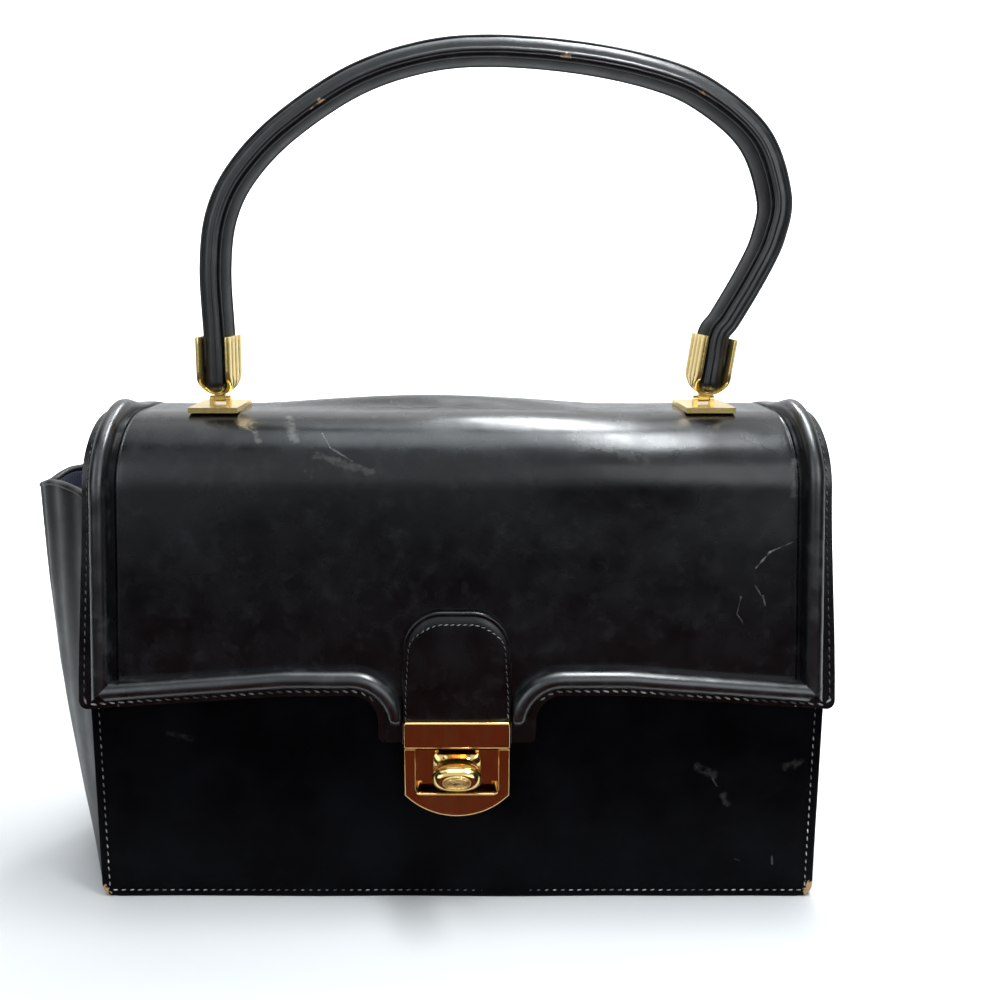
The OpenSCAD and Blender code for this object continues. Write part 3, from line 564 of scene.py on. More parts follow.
def waxed_thread(name, light, dark):
    """Twisted black thread, its shade uneven from stitch to stitch: the light shade that some stitches and
    patches get is a painted glint.
    """
    finish = Finish(name, Roughness=0.5, Specular_IOR_Level=0.5)
    each = finish.ramp(finish.noise(420, detail=2), (0.35, 0.25), (0.65, 1.0))
    patches = finish.ramp(finish.noise(38, detail=2), (0.40, 0.08), (0.62, 1.0))
    twist = finish.noise(3500, detail=1, place=finish.placed((1, 0.3, 1)))
    shade = finish.mix(finish.sum("MULTIPLY", each, patches), dark, light)
    return finish.done((twist, 0.05, 0.6), Base_Color=shade)


# The flap's surface

def flap_spot(x, s, lift=0.0):
    """A place on the flap: x across, s up the front and over the top, lift off the leather."""
    if s < FRONT_RUN:
        out = Vector((-math.cos(LEAN), math.sin(LEAN)))
        spot = edge + s * Vector((math.sin(LEAN), math.cos(LEAN)))
    elif s < SHOULDER_END:
        angle = math.pi - LEAN - (s - FRONT_RUN) / SHOULDER_R
        out = Vector((math.cos(angle), math.sin(angle)))
        spot = shoulder + SHOULDER_R * out
    elif s < LEVEL_END:
        out = Vector((0, 1))
        spot = Vector((shoulder.x + s - SHOULDER_END, FLAP_TOP))
    else:
        angle = math.pi / 2 - min((s - LEVEL_END) / BACK_ARC_R, FALL)
        out = Vector((math.cos(angle), math.sin(angle)))
        spot = back_arc + BACK_ARC_R * out + max(0.0, s - BACK_ARC_END) * Vector((out.y, -out.x))
    spot = spot + lift * out
    return Vector((x, spot.x, spot.y))


def flap_out(s):
    return (flap_spot(0, s, 1) - flap_spot(0, s)).normalized()


def up_flap(z):
    """Distance up the flap's front of a height."""
    return (z - FLAP_EDGE) / math.cos(LEAN)


def flap_half_outline(inset):
    """The flap's lower edge from the middle to the side, as (x, s), set in by an amount."""
    corner = (FLAP_HALF_LOW - FLAP_CORNER_R - inset, FLAP_EDGE + FLAP_CORNER_R + inset)
    knee = (KNEE_X, FLAP_EDGE + EDGE_RISE + inset)
    drop_x = DROP_ARC_X - DROP_ARC_R - DROP_CORNER_R - inset
    points = (
        straight((0, DROP_Z + inset), (drop_x, DROP_Z + inset), 12)
        + arc((drop_x, DROP_Z + DROP_CORNER_R + inset), DROP_CORNER_R, 270, 360, 5)
        + arc((DROP_ARC_X, FLAP_EDGE + EDGE_RISE - DROP_ARC_R), DROP_ARC_R + inset, 180, 90, 14)
        + straight((DROP_ARC_X + 1.5, knee[1]), knee, 10)
        + straight(knee, (corner[0], FLAP_EDGE + inset), 34)
        + arc(corner, FLAP_CORNER_R, 270, 360, 6)
    )
    return [(x, up_flap(z)) for x, z in points]


def whole(half):
    """A half outline and its mirror image, from left to right."""
    return [(-x, s) for x, s in reversed(half[1:])] + half


PILLOW_X = -11.0
PILLOW_HALF = 68.0
PILLOW_H = 3.3
CREASE_Y = 2.0
CREASE_BOW = 20.0


def flap_relief(x, s):
    """How far the leather stands off its drawn shape: the pillow on top, grooves and slow waves."""
    spot = flap_spot(x, s)
    off = (x - PILLOW_X) / PILLOW_HALF
    bell = math.cos(off * math.pi / 2)**1.4 if abs(off) < 1 else 0.0
    crease = CREASE_Y - CREASE_BOW * off**2 * (off > 0) - 4 * off**2 * (off < 0)
    back_down = ease((HINGE_Y - 2 - spot.y) / 9)
    pillow = PILLOW_H * bell * ease((spot.y - crease) / 11) * back_down * (s > FRONT_RUN)
    valley = -0.5 * ridge(spot.y - crease, 1.8) * bell * ease((off + 0.3) / 0.5) * (s > FRONT_RUN)
    groove = -0.55 * ridge(abs(x) - BEAD_X + BEAD_R + 0.8, 0.9)
    waves = 0.28 * drift(x, s, 0, 42) + 0.10 * drift(x, s, 5, 16)
    sag = -0.7 * ridge(x, 70) * ridge(s - 0.45 * FRONT_RUN, 30)
    swell = 0.9 * ridge(x - 62, 34) * ridge(s - 88, 13)
    hold = ease((HINGE_REACH - s) / 6)
    return (pillow + valley + groove + sag + swell + waves) * hold


def on_flap(x, s):
    """A place on the flap's leather as it really lies."""
    return tuple(flap_spot(x, s, flap_relief(x, s)))


def flap_grid(name, inset, lift, relief, thick, rows=120, rim=0.45):
    """A layer of the flap, its columns spread from the shaped lower edge up to the hinge."""
    low = whole(flap_half_outline(inset))
    gone = [0.0]
    for a, b in zip(low, low[1:]):
        gone.append(gone[-1] + math.hypot(b[0] - a[0], b[1] - a[1]))

    def place(i, j):
        share = j / rows
        t = 2 * gone[i] / gone[-1] - 1
        top_x = (FLAP_HALF_TOP - inset) * t * (0.92 + 0.08 * abs(t))
        flare = (low[-1][0] - (FLAP_HALF_TOP - inset)) * t * (1 - ease(share * HINGE_REACH / FRONT_RUN))
        spread = ease(share * 1.6)
        x = (low[i][0] - (low[-1][0] - FLAP_HALF_TOP + inset) * t) * (1 - spread) + top_x * spread + flare
        s = low[i][1] + (HINGE_REACH - low[i][1]) * share
        return flap_spot(x, s, lift + (flap_relief(x, s) if relief else 0.0))

    return leather_sheet(name, len(low) - 1, rows, place, thick, rim)


def flap_welt(name, path, section, mitre, ends):
    """Rolls a welt along a path of (x, s), mitred at its first end and flatter behind the top."""
    top = len(path) - 1
    ways = [(Vector(path[min(j + 1, top)]) - Vector(path[max(j - 1, 0)])).normalized()
            for j in range(top + 1)]

    def place(point, j):
        across, up = point
        way = ways[j]
        slip = GLUE + mitre * across if j == 0 else 0.0
        shrink = 1 - 0.35 * ends * (1 - ease((top - j) / 2.0))
        swell = 1 + 0.05 * drift(path[j][0], path[j][1], 0, 9)
        spot = Vector(path[j]) + Vector((way.y, -way.x)) * across * shrink + way * slip
        x = math.copysign(max(abs(spot.x), TAB_HALF + 0.4), path[j][0])
        flat = 1 - 0.88 * ease((spot.y - SHOULDER_END + 6) / 23)
        return flap_spot(x, spot.y, up * (shrink * swell * flat if up > 0 else 1))

    return rolled(name, section, top, place)


# Flap, tab and body pieces

def make_flap(calf, welt_calf, lining, thread, dark_thread):
    """The flap's leather and lining, its four welts and its stitching."""
    skin = flap_grid("flap_skin", 0, 0, True, FLAP_LEATHER_T)
    hand_over(skin, calf, "flap", "flap_leather", slot="black_calf")
    cloth = flap_grid("flap_lining_cloth", 0.5, -(FLAP_T - 0.5), False, 0.5, rows=60, rim=0)
    hand_over(cloth, lining, "flap", "flap_lining", slot="navy_lining")

    rise = LOW_FLANGE + BEAD_R
    bay_z = FLAP_EDGE + EDGE_RISE
    low = (straight((BEAD_X, FLAP_EDGE + rise), (KNEE_X, bay_z + rise), 34)
           + straight((KNEE_X, bay_z + rise), (DROP_ARC_X, bay_z + rise), 12)
           + arc((DROP_ARC_X, bay_z - DROP_ARC_R), DROP_ARC_R + rise, 90, 178, 26))
    start = up_flap(FLAP_EDGE + rise)
    run = BACK_ARC_END + FALL_RUN - WELT_SHORT - start
    section = [(-BEAD_R, -WELT_SINK), (BEAD_R, -WELT_SINK)] + arc((0, BEAD_H - BEAD_R), BEAD_R, 0, 180, 12)
    side_rows, low_rows = [], []
    for side, word in ((-1, "left"), (1, "right")):
        upright = [(side * BEAD_X, start + run * j / 90) for j in range(91)]
        welt = flap_welt("end_welt_" + word, upright, section, -side, 0.6)
        hand_over(welt, welt_calf, "flap", "bead_" + word, slot="black_calf")
        welt = flap_welt("lower_welt_" + word, [(side * x, up_flap(z)) for x, z in low], section, -side, 1.0)
        hand_over(welt, welt_calf, "flap", "bead_lower_" + word, slot="black_calf")

        seam = []
        for j in range(161):
            s = start - 5 + (BACK_ARC_END - start + 4) * j / 160
            half = FLAP_HALF_TOP + (FLAP_HALF_LOW - FLAP_HALF_TOP) * (1 - ease(s / FRONT_RUN))
            x = side * (half - SIDE_SEAM_IN)
            seam.append((flap_spot(x, s, flap_relief(x, s) + 0.08), flap_out(s)))
        side_rows.append([(spot, way, min(seam, key=lambda mark: (mark[0] - spot).length)[1])
                          for spot, way in spaced([spot for spot, _ in seam], 2.9, 2.0)])
        low_path = [flap_spot(side * x, s, flap_relief(side * x, s) + SEAM_LIFT)
                    for x, s in flap_half_outline(LOW_SEAM_IN) if x > TAB_HALF + SEAM_FROM_TAB]
        low_rows.append(seam_marks(low_path, 3.3, flap_out(0), 1.0))
    hand_over(stitches("flap_side_stitches", side_rows, 1.9, 0.26), dark_thread, "flap", slot="black_calf")
    hand_over(stitches("flap_edge_stitches", low_rows, 2.5, 0.36, -16), thread, "flap", slot="black_calf")


def make_tab(calf, thread):
    """The tab over the lock: thick, edge-turned and stitched round."""
    foot, top, r = up_flap(DROP_Z), up_flap(TAB_TOP), TAB_CORNER_R
    right = straight((TAB_HALF, foot), (TAB_HALF, top - r), 14) + arc((TAB_HALF - r, top - r), r, 0, 90, 16)
    outline = right + [(-x, y) for x, y in reversed(right)]

    def on_tab(spot):
        wave = 0.12 * drift(spot.x, spot.y, 3, 12) * (spot.z > 0.5)
        return flap_spot(spot.x, spot.y, GLUE + spot.z + wave)

    turned_edge = [(0.16, 0.26), (0.28, 0.2), (0.4, 0.08), (0.5, -0.3), (0.5, 0.0), (0.6, 0.3), (2.2, 0.1),
                   (3.0, 0.06)]
    tab = cut_piece("lock_tab_leather", outline, TAB_T - 0.55, turned_edge, on_tab)
    smooth(tab, 60)
    hand_over(tab, calf, "flap", "lock_tab", slot="black_calf")

    # The stitching lies close to the sides and draws in under the round top
    path = []
    for k in range(61):
        x, s = outline[2 + k * (len(outline) - 5) // 60]
        inwards = 1.5 + 3.0 * ease((s - foot - 12) / (top - foot - 12))
        pull = 0.55 + 0.45 * (top - 4 - s) / (top - foot)
        path.append(flap_spot(x * (1 - inwards / TAB_HALF * pull), s - inwards * ease((s - top + 16) / 16),
                              GLUE + TAB_T + 0.14))
    seam = stitches("tab_stitches", [seam_marks(path, 2.2, flap_out(0), 1.0)], 1.9, 0.2, 12)
    hand_over(seam, thread, "flap", slot="black_calf")


def front_at(z):
    return FRONT_Y + max(0.0, z - FLAP_EDGE) * math.tan(LEAN)


def back_at(z):
    return BACK_Y - BACK_LEAN_IN * z / HINGE_Z


def panel_foot(x, half):
    """Height of a panel's rounded lower edge at x."""
    inside = abs(x) - (half - FOOT_CORNER_R)
    if inside <= 0:
        return 0.0
    return FOOT_CORNER_R - math.sqrt(max(0.0, FOOT_CORNER_R**2 - inside**2))


def panel(name, facing, top, y_at, depth, half, foot, thick, columns=140, rows=70, relief=0.0, rim=0.45):
    """A panel of the body, in front (-1) or at the back (1), at a depth behind its outside."""
    def place(i, j):
        share = 2 * i / columns - 1
        spread = math.sin(share * math.pi / 2) * 0.15 + share * 0.85
        z_full = foot + (top - foot) * j / rows
        reach_x = half - SIDE_TAPER * (1 - z_full / top)
        x = -facing * spread * reach_x
        low = foot + (panel_foot(x, half - SIDE_TAPER) if foot < 1 else 0.0)
        z = low + (top - low) * j / rows
        bow = relief * (0.55 * ridge(x, 95) * ridge(z - 40, 45) + 0.35 * drift(x, z, facing, 38)
                        - 0.30 * ridge(z - 3.6, 0.9) * (foot < 1)
                        - 0.25 * ridge(abs(x) - reach_x + 4.2, 0.9))
        return Vector((x, y_at(z) + facing * (bow - depth), z))

    return leather_sheet(name, columns, rows, place, thick, rim)


def make_body(calf, lining, thread):
    """Front, back and base with their linings and stitching, and the fold that the flap hangs on."""
    faces = ((-1, "front", front_at), (1, "back", back_at))
    for facing, word, y_at in faces:
        top = cad(word + "_panel")[1].z
        skin = panel(word + "_skin", facing, top, y_at, 0, HALF_W, 0.0, LEATHER_T, relief=0.8)
        hand_over(skin, calf, "body", word + "_panel", slot="black_calf")
    for facing, word, y_at in faces:
        low, high = cad(word + "_lining")
        cloth = panel(word + "_lining_cloth", facing, high.z, y_at, STACK_IN - LINING_T, BOARD_HALF, low.z,
                      LINING_T, columns=60, rows=40, rim=0.2)
        hand_over(cloth, lining, "body", word + "_lining", slot="navy_lining")

    def on_floor(i, j):
        x, y = low.x + (high.x - low.x) * i / 60, low.y + (high.y - low.y) * j / 20
        return Vector((x, y, high.z + 0.12 * drift(x, y, 0, 30)))

    low, high = cad("base_lining")
    cloth = leather_sheet("base_lining_cloth", 60, 20, on_floor, LINING_T, 0.2)
    hand_over(cloth, lining, "body", "base_lining", slot="navy_lining")

    def under(i, j):
        x_left = low.x + LEFT_FOOT * abs(2 * j / 24 - 1)**FAN_POWER
        return Vector((high.x + (x_left - high.x) * i / 80, low.y + (high.y - low.y) * j / 24, 0.0))

    low, high = cad("base_panel")
    skin = leather_sheet("base_skin", 80, 24, under, LEATHER_T, 0.5)
    hand_over(skin, calf, "body", "base_panel", slot="black_calf")

    # A stitch line near the foot of the front and the back, and one up each side
    marks = []
    for facing, word, y_at in faces:
        out = Vector((0, facing, 0))
        top = cad(word + "_panel")[1].z - SEAM_SHORT[word]
        lift = facing * SEAM_LIFT
        foot = [Vector((x * 2.0, y_at(FOOT_SEAM_Z) + lift, FOOT_SEAM_Z)) for x in range(-63, 64)]
        marks.append(seam_marks(foot, BODY_PITCH, out))
        for side in (-1, 1):
            seam = [Vector((side * (HALF_W - SIDE_SEAM_W - SIDE_TAPER * (1 - z / top)), y_at(z) + lift, z))
                    for z in range(5, int(top), 3)]
            marks.append(seam_marks(seam, BODY_PITCH, out))
    hand_over(stitches("body_stitches", marks, 1.8, 0.24), thread, "body", slot="black_calf")

    def along_fold(point, j):
        share = j / 60
        taper = 0.55 + 0.45 * ease(min(share, 1 - share) / 0.012)
        return Vector((low.x + (high.x - low.x) * share, HINGE_Y + point[0] * taper,
                       HINGE_Z + point[1] * taper))

    low, high = cad("hinge_fold")
    fold = rolled("hinge_fold_leather", arc((0, 0), FOLD_R, 0, 337.5, 15), 60, along_fold)
    hand_over(fold, calf, "body", "hinge_fold", slot="black_calf")


# Gusset and pocket pieces

def seam_in(side):
    """How far a gusset's flange lies behind the outside of the front or the back."""
    return LEATHER_T + GLUE + (GUSSET_STACK if side > 0 else 0.0)


def gusset_spot(side, t, z, inward=0.0, pleats=1.0):
    """A place on a gusset's wall, t from the front seam to the back, moved towards the inside."""
    def plain(t):
        seam = seam_in(side)
        rise = 1 - math.exp(-z / GUSSET_RISE)
        fan = 1 - abs(2 * t - 1)**FAN_POWER
        if side < 0:
            x = -(SEAM_OUT + (LEFT_FOOT + LEFT_SWELL * rise) * fan)
        else:
            x = SEAM_OUT - SEAM_W - RIGHT_FOLD * rise * fan
        y = (front_at(z) + seam) * (1 - t) + (back_at(z) - seam) * t
        return Vector((x, y, z))

    here = plain(t)
    way = plain(min(1, t + 0.01)) - plain(max(0, t - 0.01))
    into = Vector((way.y, -way.x, 0)).normalized() * (-1 if side > 0 else 1)
    from_crest = abs(2 * t - 1)
    open_share = ease(z / FRONT_H) * ease((1 - from_crest) / 0.25)
    fold = open_share * pleats * (0.95 * (0.5 - 0.5 * math.cos(from_crest * math.pi * 6.4))
                                  * ease(from_crest / 0.12))
    crumple = 0.45 * (drift(here.x, here.y, z * 0.35, 9, side) + 0.5) * ease(z / 30) * pleats
    return here + into * (inward + fold + crumple * 0.5)


def gusset_top(t):
    """Height of a gusset's upper edge, which sags at its crest."""
    t = min(1.0, max(0.0, t))
    for (a, low), (b, high) in zip(GUSSET_TOP, GUSSET_TOP[1:]):
        if t <= b:
            return low + (high - low) * ease((t - a) / (b - a))


def gusset_grid(name, side, inward, drop, thick):
    """A layer of a gusset: its wall and the two flanges sewn to the front and the back."""
    columns, rows = WALL_STEPS + 2 * FLANGE_STEPS, 60

    def place(i, j):
        if side < 0:
            i = columns - i
        t = (i - FLANGE_STEPS) / WALL_STEPS
        level = BASE_TOP + (gusset_top(t) - drop - BASE_TOP) * j / rows
        spot = gusset_spot(side, min(1, max(0, t)), level, inward, float(0 <= t <= 1))
        past = (FLANGE_STEPS - i if i < FLANGE_STEPS else i - WALL_STEPS - FLANGE_STEPS) / FLANGE_STEPS
        if past > 0:
            seam = seam_in(side)
            flange_x = SEAM_W - SEAM_OUT if side < 0 else SEAM_OUT
            lay = inward if side < 0 else -inward
            front = i < FLANGE_STEPS
            spot.x += (flange_x - spot.x) * past
            spot.y = front_at(level) + seam + lay if front else back_at(level) - seam - lay
        return spot

    return leather_sheet(name, columns, rows, place, thick, 0.3)


def make_gussets(calf, lining, binding):
    for side, word in ((-1, "left"), (1, "right")):
        skin = gusset_grid(f"gusset_{word}_skin", side, 0.0, 0.0, GUSSET_T)
        hand_over(skin, calf[word], "body", "gusset_" + word, slot="black_calf")
        cloth = gusset_grid(f"gusset_{word}_cloth", side, GUSSET_LINING_IN, 2.0, GUSSET_LINING_T)
        hand_over(cloth, lining, "body", "gusset_lining_" + word, slot="navy_lining")

        # A folded strip binds the gusset's top edge and its lining
        def along_edge(point, j):
            t = j / 90
            z = gusset_top(t)
            spot = gusset_spot(side, t, z - 0.6, 1.1)
            way = gusset_spot(side, min(1, t + 0.01), z, 1.1) - gusset_spot(side, max(0, t - 0.01), z, 1.1)
            into = Vector((way.y, -way.x, 0)).normalized()
            lump = 1 + 0.1 * drift(spot.x, spot.y, z, 3)
            return spot + into * point[0] * 1.45 * lump + Vector((0, 0, point[1] * 1.2 * lump - 0.2))

        strip = rolled(f"gusset_{word}_binding", arc((0, 0), 1.0, 0, 330, 11), 90, along_edge)
        hand_over(strip, binding, "body", slot="black_calf")


def make_pocket(lining):
    """A slip pocket on the back lining, slightly slack at its mouth."""
    low, high = cad("slip_pocket")
    columns, rows = 60, 36

    def place(i, j):
        z = low.z + (high.z - low.z) * j / rows
        slack = math.sin(math.pi * i / columns) * ease(j / rows) * 0.9
        return Vector((low.x + (high.x - low.x) * i / columns,
                       high.y - (z - low.z) * BACK_LEAN_IN / HINGE_Z - 2.0 - slack, z))

    cloth = leather_sheet("slip_pocket_cloth", columns, rows, place, LINING_T, 0.2)
    hand_over(cloth, lining, "body", "slip_pocket", slot="navy_lining")


# Handle pieces

def cup_point(side, h):
    return Vector((CUP_X[side] + h * math.sin(side * CUP_LEAN), PIN_Z + h * math.cos(side * CUP_LEAN)))


LOOP_SHARES = [(-0.503, 0.383), (-0.488, 0.534), (-0.443, 0.660), (-0.355, 0.788), (-0.217, 0.916),
               (-0.079, 0.982), (0.055, 1), (0.229, 0.982), (0.382, 0.938), (0.486, 0.876),
               (0.586, 0.755), (0.630, 0.592), (0.622, 0.477), (0.593, 0.376), (0.541, 0.240)]
CUP_SEAT = 6.6
SEAT_LIFT = 3.6
CUP_H = 24.0
RIM_H = CUP_H + 1
SEAT_HEIGHTS = [CUP_SEAT - 2 * SEAT_LIFT, CUP_SEAT, (CUP_SEAT + CUP_H) / 2, RIM_H]
LOOP_STEPS = 10


def spline(a, b, c, d, t):
    return 0.5 * (2 * b + (c - a) * t + (2 * a - 5 * b + 4 * c - d) * t * t + (3 * b - a - 3 * c + d) * t**3)


knots = ([cup_point(0, h) for h in SEAT_HEIGHTS]
         + [Vector((HANDLE_MIDDLE + x * HANDLE_SPAN, PIN_Z + z * HANDLE_RISE)) for x, z in LOOP_SHARES]
         + [cup_point(1, h) for h in reversed(SEAT_HEIGHTS)])
loop = [spline(*knots[i - 1:i + 3], k / LOOP_STEPS)
        for i in range(1, len(knots) - 2) for k in range(LOOP_STEPS)]
loop.append(knots[-2])


def loop_way(j):
    return (loop[min(j + 1, len(loop) - 1)] - loop[max(j - 1, 0)]).normalized()


def handle_spot(j, out, across):
    """A place on the handle: out of its loop and across it, front to back."""
    way = loop_way(j)
    return Vector((loop[j].x - way.y * out, PLATE_Y + across, loop[j].y + way.x * out))


CROWN = HANDLE_T / 2
DOME_FOOT = -0.5
DOME_BULGE = 0.84
COVER_FOOT = -3.2
PIPING_SHARE = 0.74
END_STEPS = 6


def dome_out(across):
    share = (abs(across) / (HANDLE_W / 2 - 0.3))**(1 / DOME_BULGE)
    return DOME_FOOT + (CROWN - DOME_FOOT) * (1 - share**2)**(DOME_BULGE / 2)


def handle_section():
    """The cover's cross-section as (out, across): a full dome over low ridges on each side, flat below."""
    points = []
    for a in range(-87, 88, 6):
        angle = math.radians(a)
        across = math.copysign((HANDLE_W / 2 - 0.3) * abs(math.sin(angle))**DOME_BULGE, a)
        points.append((DOME_FOOT + (CROWN - DOME_FOOT) * math.cos(angle)**DOME_BULGE, across))
    side = [(-0.75, 8.5), (-1.0, 8.58), (-1.3, 8.85), (-1.75, 8.97), (-2.2, 8.85), (-2.5, 8.55),
            (-2.7, 8.55), (-2.95, 8.65), (COVER_FOOT, 8.5)]
    return points + side + [(out, -across) for out, across in reversed(side)]


def make_handle(calf, under_calf, piping_calf):
    section = handle_section()
    lasts = len(loop) - 1

    def on_cover(point, j):
        j -= END_STEPS
        past = max(0, -j, j - lasts) / END_STEPS * math.pi / 2
        j = min(lasts, max(0, j))
        wave = 1 + 0.02 * drift(loop[j].x, loop[j].y, 0, 14)
        in_cup = 1 - ease((min(j, lasts - j) - 1.3 * LOOP_STEPS) / 6)
        out = (point[0] + 0.1 * drift(loop[j].x, point[1], loop[j].y, 7)) * (1 + 0.07 * in_cup)
        spot = handle_spot(j, out * max(0.0, math.cos(past))**0.6 + 0.02 * math.sin(past),
                           point[1] * wave * (1 - 0.3 * math.sin(past)**1.5))
        way = loop_way(j) * math.sin(past)**0.8 * 0.8 * CROWN * (1 if j else -1)
        return spot + Vector((way.x, 0, way.y))

    cover = rolled("handle_cover_leather", section, lasts + 2 * END_STEPS, on_cover)
    hand_over(cover, calf, "handle", "handle_cover", slot="black_calf")

    low = -HANDLE_T / 2
    half = HANDLE_W / 2 - 0.5
    groove = half - 2.2
    strip = [(low + 0.2, -half), (low, -half + 0.4), (low, -groove - 0.5), (low + 0.28, -groove),
             (low, -groove + 0.5), (low, groove - 0.5), (low + 0.28, groove), (low, groove + 0.5),
             (low, half - 0.4), (low + 0.2, half), (low + 0.9, half), (low + 0.9, -half)]
    lining = rolled("handle_inside_strip", strip, lasts, lambda p, j: handle_spot(j, p[0], p[1]))
    hand_over(lining, under_calf, "handle", "handle_lining", slot="black_calf")

    # Low piping near both sides of the crown, running down into the cups
    rim = 4
    last = lasts - rim
    across = PIPING_SHARE * HANDLE_W / 2
    out = dome_out(across) + 0.15
    ring = arc((0, 0), 1.0, 0, 324, 9)
    for side, word in ((-1, "front"), (1, "back")):
        def on_welt(point, j):
            grow = ease(min(j, last - rim - j) / 5 + 0.1)
            return handle_spot(rim + j, out + 0.6 * grow * point[0], side * across + 0.62 * grow * point[1])

        welt = rolled(f"handle_piping_{word}", ring, last - rim, on_welt)
        hand_over(welt, piping_calf, "handle", f"handle_welt_{word}", slot="black_calf")


# Metal pieces

FACE_RING = 0.12
LOCK_HALF = 18.65
LOCK_TOP = 62.6
LOCK_H = 25.7
FOOT_SAG = 8.1
WINDOW_HALF = 14.45
WINDOW_FOOT = 45.8
KNOB_Z = 56.0
KNOB_HALF_W = 8.65
KNOB_HALF_H = 4.4
KNOB_FACE = 11.45
MEDALLION_HALF_W = 4.9
MEDALLION_HALF_H = 2.5
MEDALLION_T = 0.75


def chamfered(name, outline, thick, steps, place):
    """A cut piece of metal: thick overall, its rim stepped in as (in, up) and smoothed round a flat face."""
    piece = cut_piece(name, outline, thick - sum(up for _, up in steps), steps + [(FACE_RING, 0.0)], place)
    smooth(piece, 34)
    return piece


def rounded(half_w, low, high, corner):
    """A rectangle with rounded corners, from the right of its foot."""
    x = half_w - corner
    centres = (x, low + corner), (x, high - corner), (-x, high - corner), (-x, low + corner)
    return [spot for k, centre in enumerate(centres)
            for spot in arc(centre, corner, 270 + 90 * k, 360 + 90 * k, 4)]


def make_lock(plate_gold, knob_gold, stippled_gold):
    # U-shaped frame with a bowed foot and a window
    shoulder_z = LOCK_TOP - LOCK_H + FOOT_SAG
    bow_r = (LOCK_HALF**2 + FOOT_SAG**2) / (2 * FOOT_SAG)
    sweep = math.degrees(math.asin(LOCK_HALF / bow_r))
    corner = 1.6
    outline = (arc((0, LOCK_TOP - LOCK_H + bow_r), bow_r, 270 - sweep, 270 + sweep, 28)
               + straight((LOCK_HALF, shoulder_z + 1), (LOCK_HALF, LOCK_TOP), 4) + [(LOCK_HALF, LOCK_TOP)]
               + [(WINDOW_HALF, LOCK_TOP)]
               + arc((WINDOW_HALF - corner, WINDOW_FOOT + corner), corner, 0, -90, 5)
               + arc((corner - WINDOW_HALF, WINDOW_FOOT + corner), corner, 270, 180, 5)
               + [(-WINDOW_HALF, LOCK_TOP)] + [(-LOCK_HALF, LOCK_TOP)])
    low, high = cad("lock_frame")
    frame_piece = chamfered("lock_frame_plate", outline, high.y - low.y,
                            [(0.14, 0.34), (0.2, 0.2), (0.34, 0.12)],
                            lambda spot: Vector((spot.x, high.y - spot.z, spot.y)))
    hand_over(frame_piece, plate_gold, "body", "lock_frame", slot="gilt_brass")

    # Bar at the foot of the tab, standing on the leather
    foot = up_flap(BAR_FOOT)
    bar = chamfered("tab_bar_plate", rounded(cad("tab_bar")[1].x, foot, foot + BAR_H, 0.7), BAR_T,
                    [(0.16, 0.3), (0.26, 0.2), (0.3, 0.1)],
                    lambda spot: flap_spot(spot.x, spot.y, TAB_T + 0.2 + spot.z))
    hand_over(bar, plate_gold, "flap", "tab_bar", slot="gilt_brass")

    # Knob: a flared collar, a waist and a domed front, by rows of (depth, width, height)
    low, high = cad("latch_knob")
    centre = Vector(((low.x + high.x) / 2, high.y, KNOB_Z))
    rows = [(0.0, 0.93, 0.90), (0.3, 1.0, 1.0), (1.0, 1.0, 1.0), (1.5, 0.95, 0.93), (2.2, 0.84, 0.80),
            (3.0, 0.78, 0.74), (3.8, 0.78, 0.74), (4.5, 0.82, 0.80), (5.2, 0.90, 0.90), (6.2, 0.97, 0.98),
            (7.4, 1.0, 1.0), (8.6, 0.99, 0.99), (9.6, 0.96, 0.95), (10.4, 0.90, 0.88), (11.0, 0.82, 0.78),
            (11.4, 0.74, 0.68), (11.6, 0.66, 0.60)]

    def on_knob(point, j):
        depth, wide, tall = rows[j]
        boxy = 2 / (3.6 if depth < 1.6 else 2.5)
        horn = 0.16 * (abs(point[0] * point[1]) * 2)**4 * ridge(depth - 0.7, 0.9)
        across, up = (math.copysign(abs(part)**boxy, part) for part in point)
        return centre + Vector((KNOB_HALF_W * wide * across * (1 + 0.3 * horn), -depth,
                                KNOB_HALF_H * tall * up * (1 + horn)))

    knob = rolled("latch_knob_body", arc((0, 0), 1.0, 0, 352.5, 47), len(rows) - 1, on_knob)
    hand_over(knob, knob_gold, "latch", "latch_knob", slot="gilt_brass")
    oval = [(MEDALLION_HALF_W * x, MEDALLION_HALF_H * y) for x, y in arc((0, 0), 1.0, 0, 351, 39)]
    medallion = chamfered("latch_knob_medallion", oval, MEDALLION_T,
                          [(0.2, 0.15), (0.3, 0.0), (0.15, -0.2), (0.3, 0.1), (0.4, 0.1), (0.5, 0.08),
                           (0.6, 0.04)],
                          lambda spot: centre + Vector((spot.x, -KNOB_FACE - spot.z, spot.y)))
    hand_over(medallion, stippled_gold, "latch", slot="gilt_brass")


CUP_W = 11.7
CUP_D = 19.0
CUP_T = 1.2
CUP_FLOOR = 1.8
CUP_TILT_H = CUP_D / 2 * math.tan(math.radians(44)) - 0.6
REEDS = 4
REED_H = 0.6
KNUCKLE_W = 4.0
KNUCKLE_R = 1.2


def cup_depth(h):
    """Half the cup's depth at a height: drawn in below, so that it can tilt over its plate."""
    return min(CUP_D / 2, KNUCKLE_R + max(h, 0) * (CUP_D / 2 - KNUCKLE_R) / CUP_TILT_H)


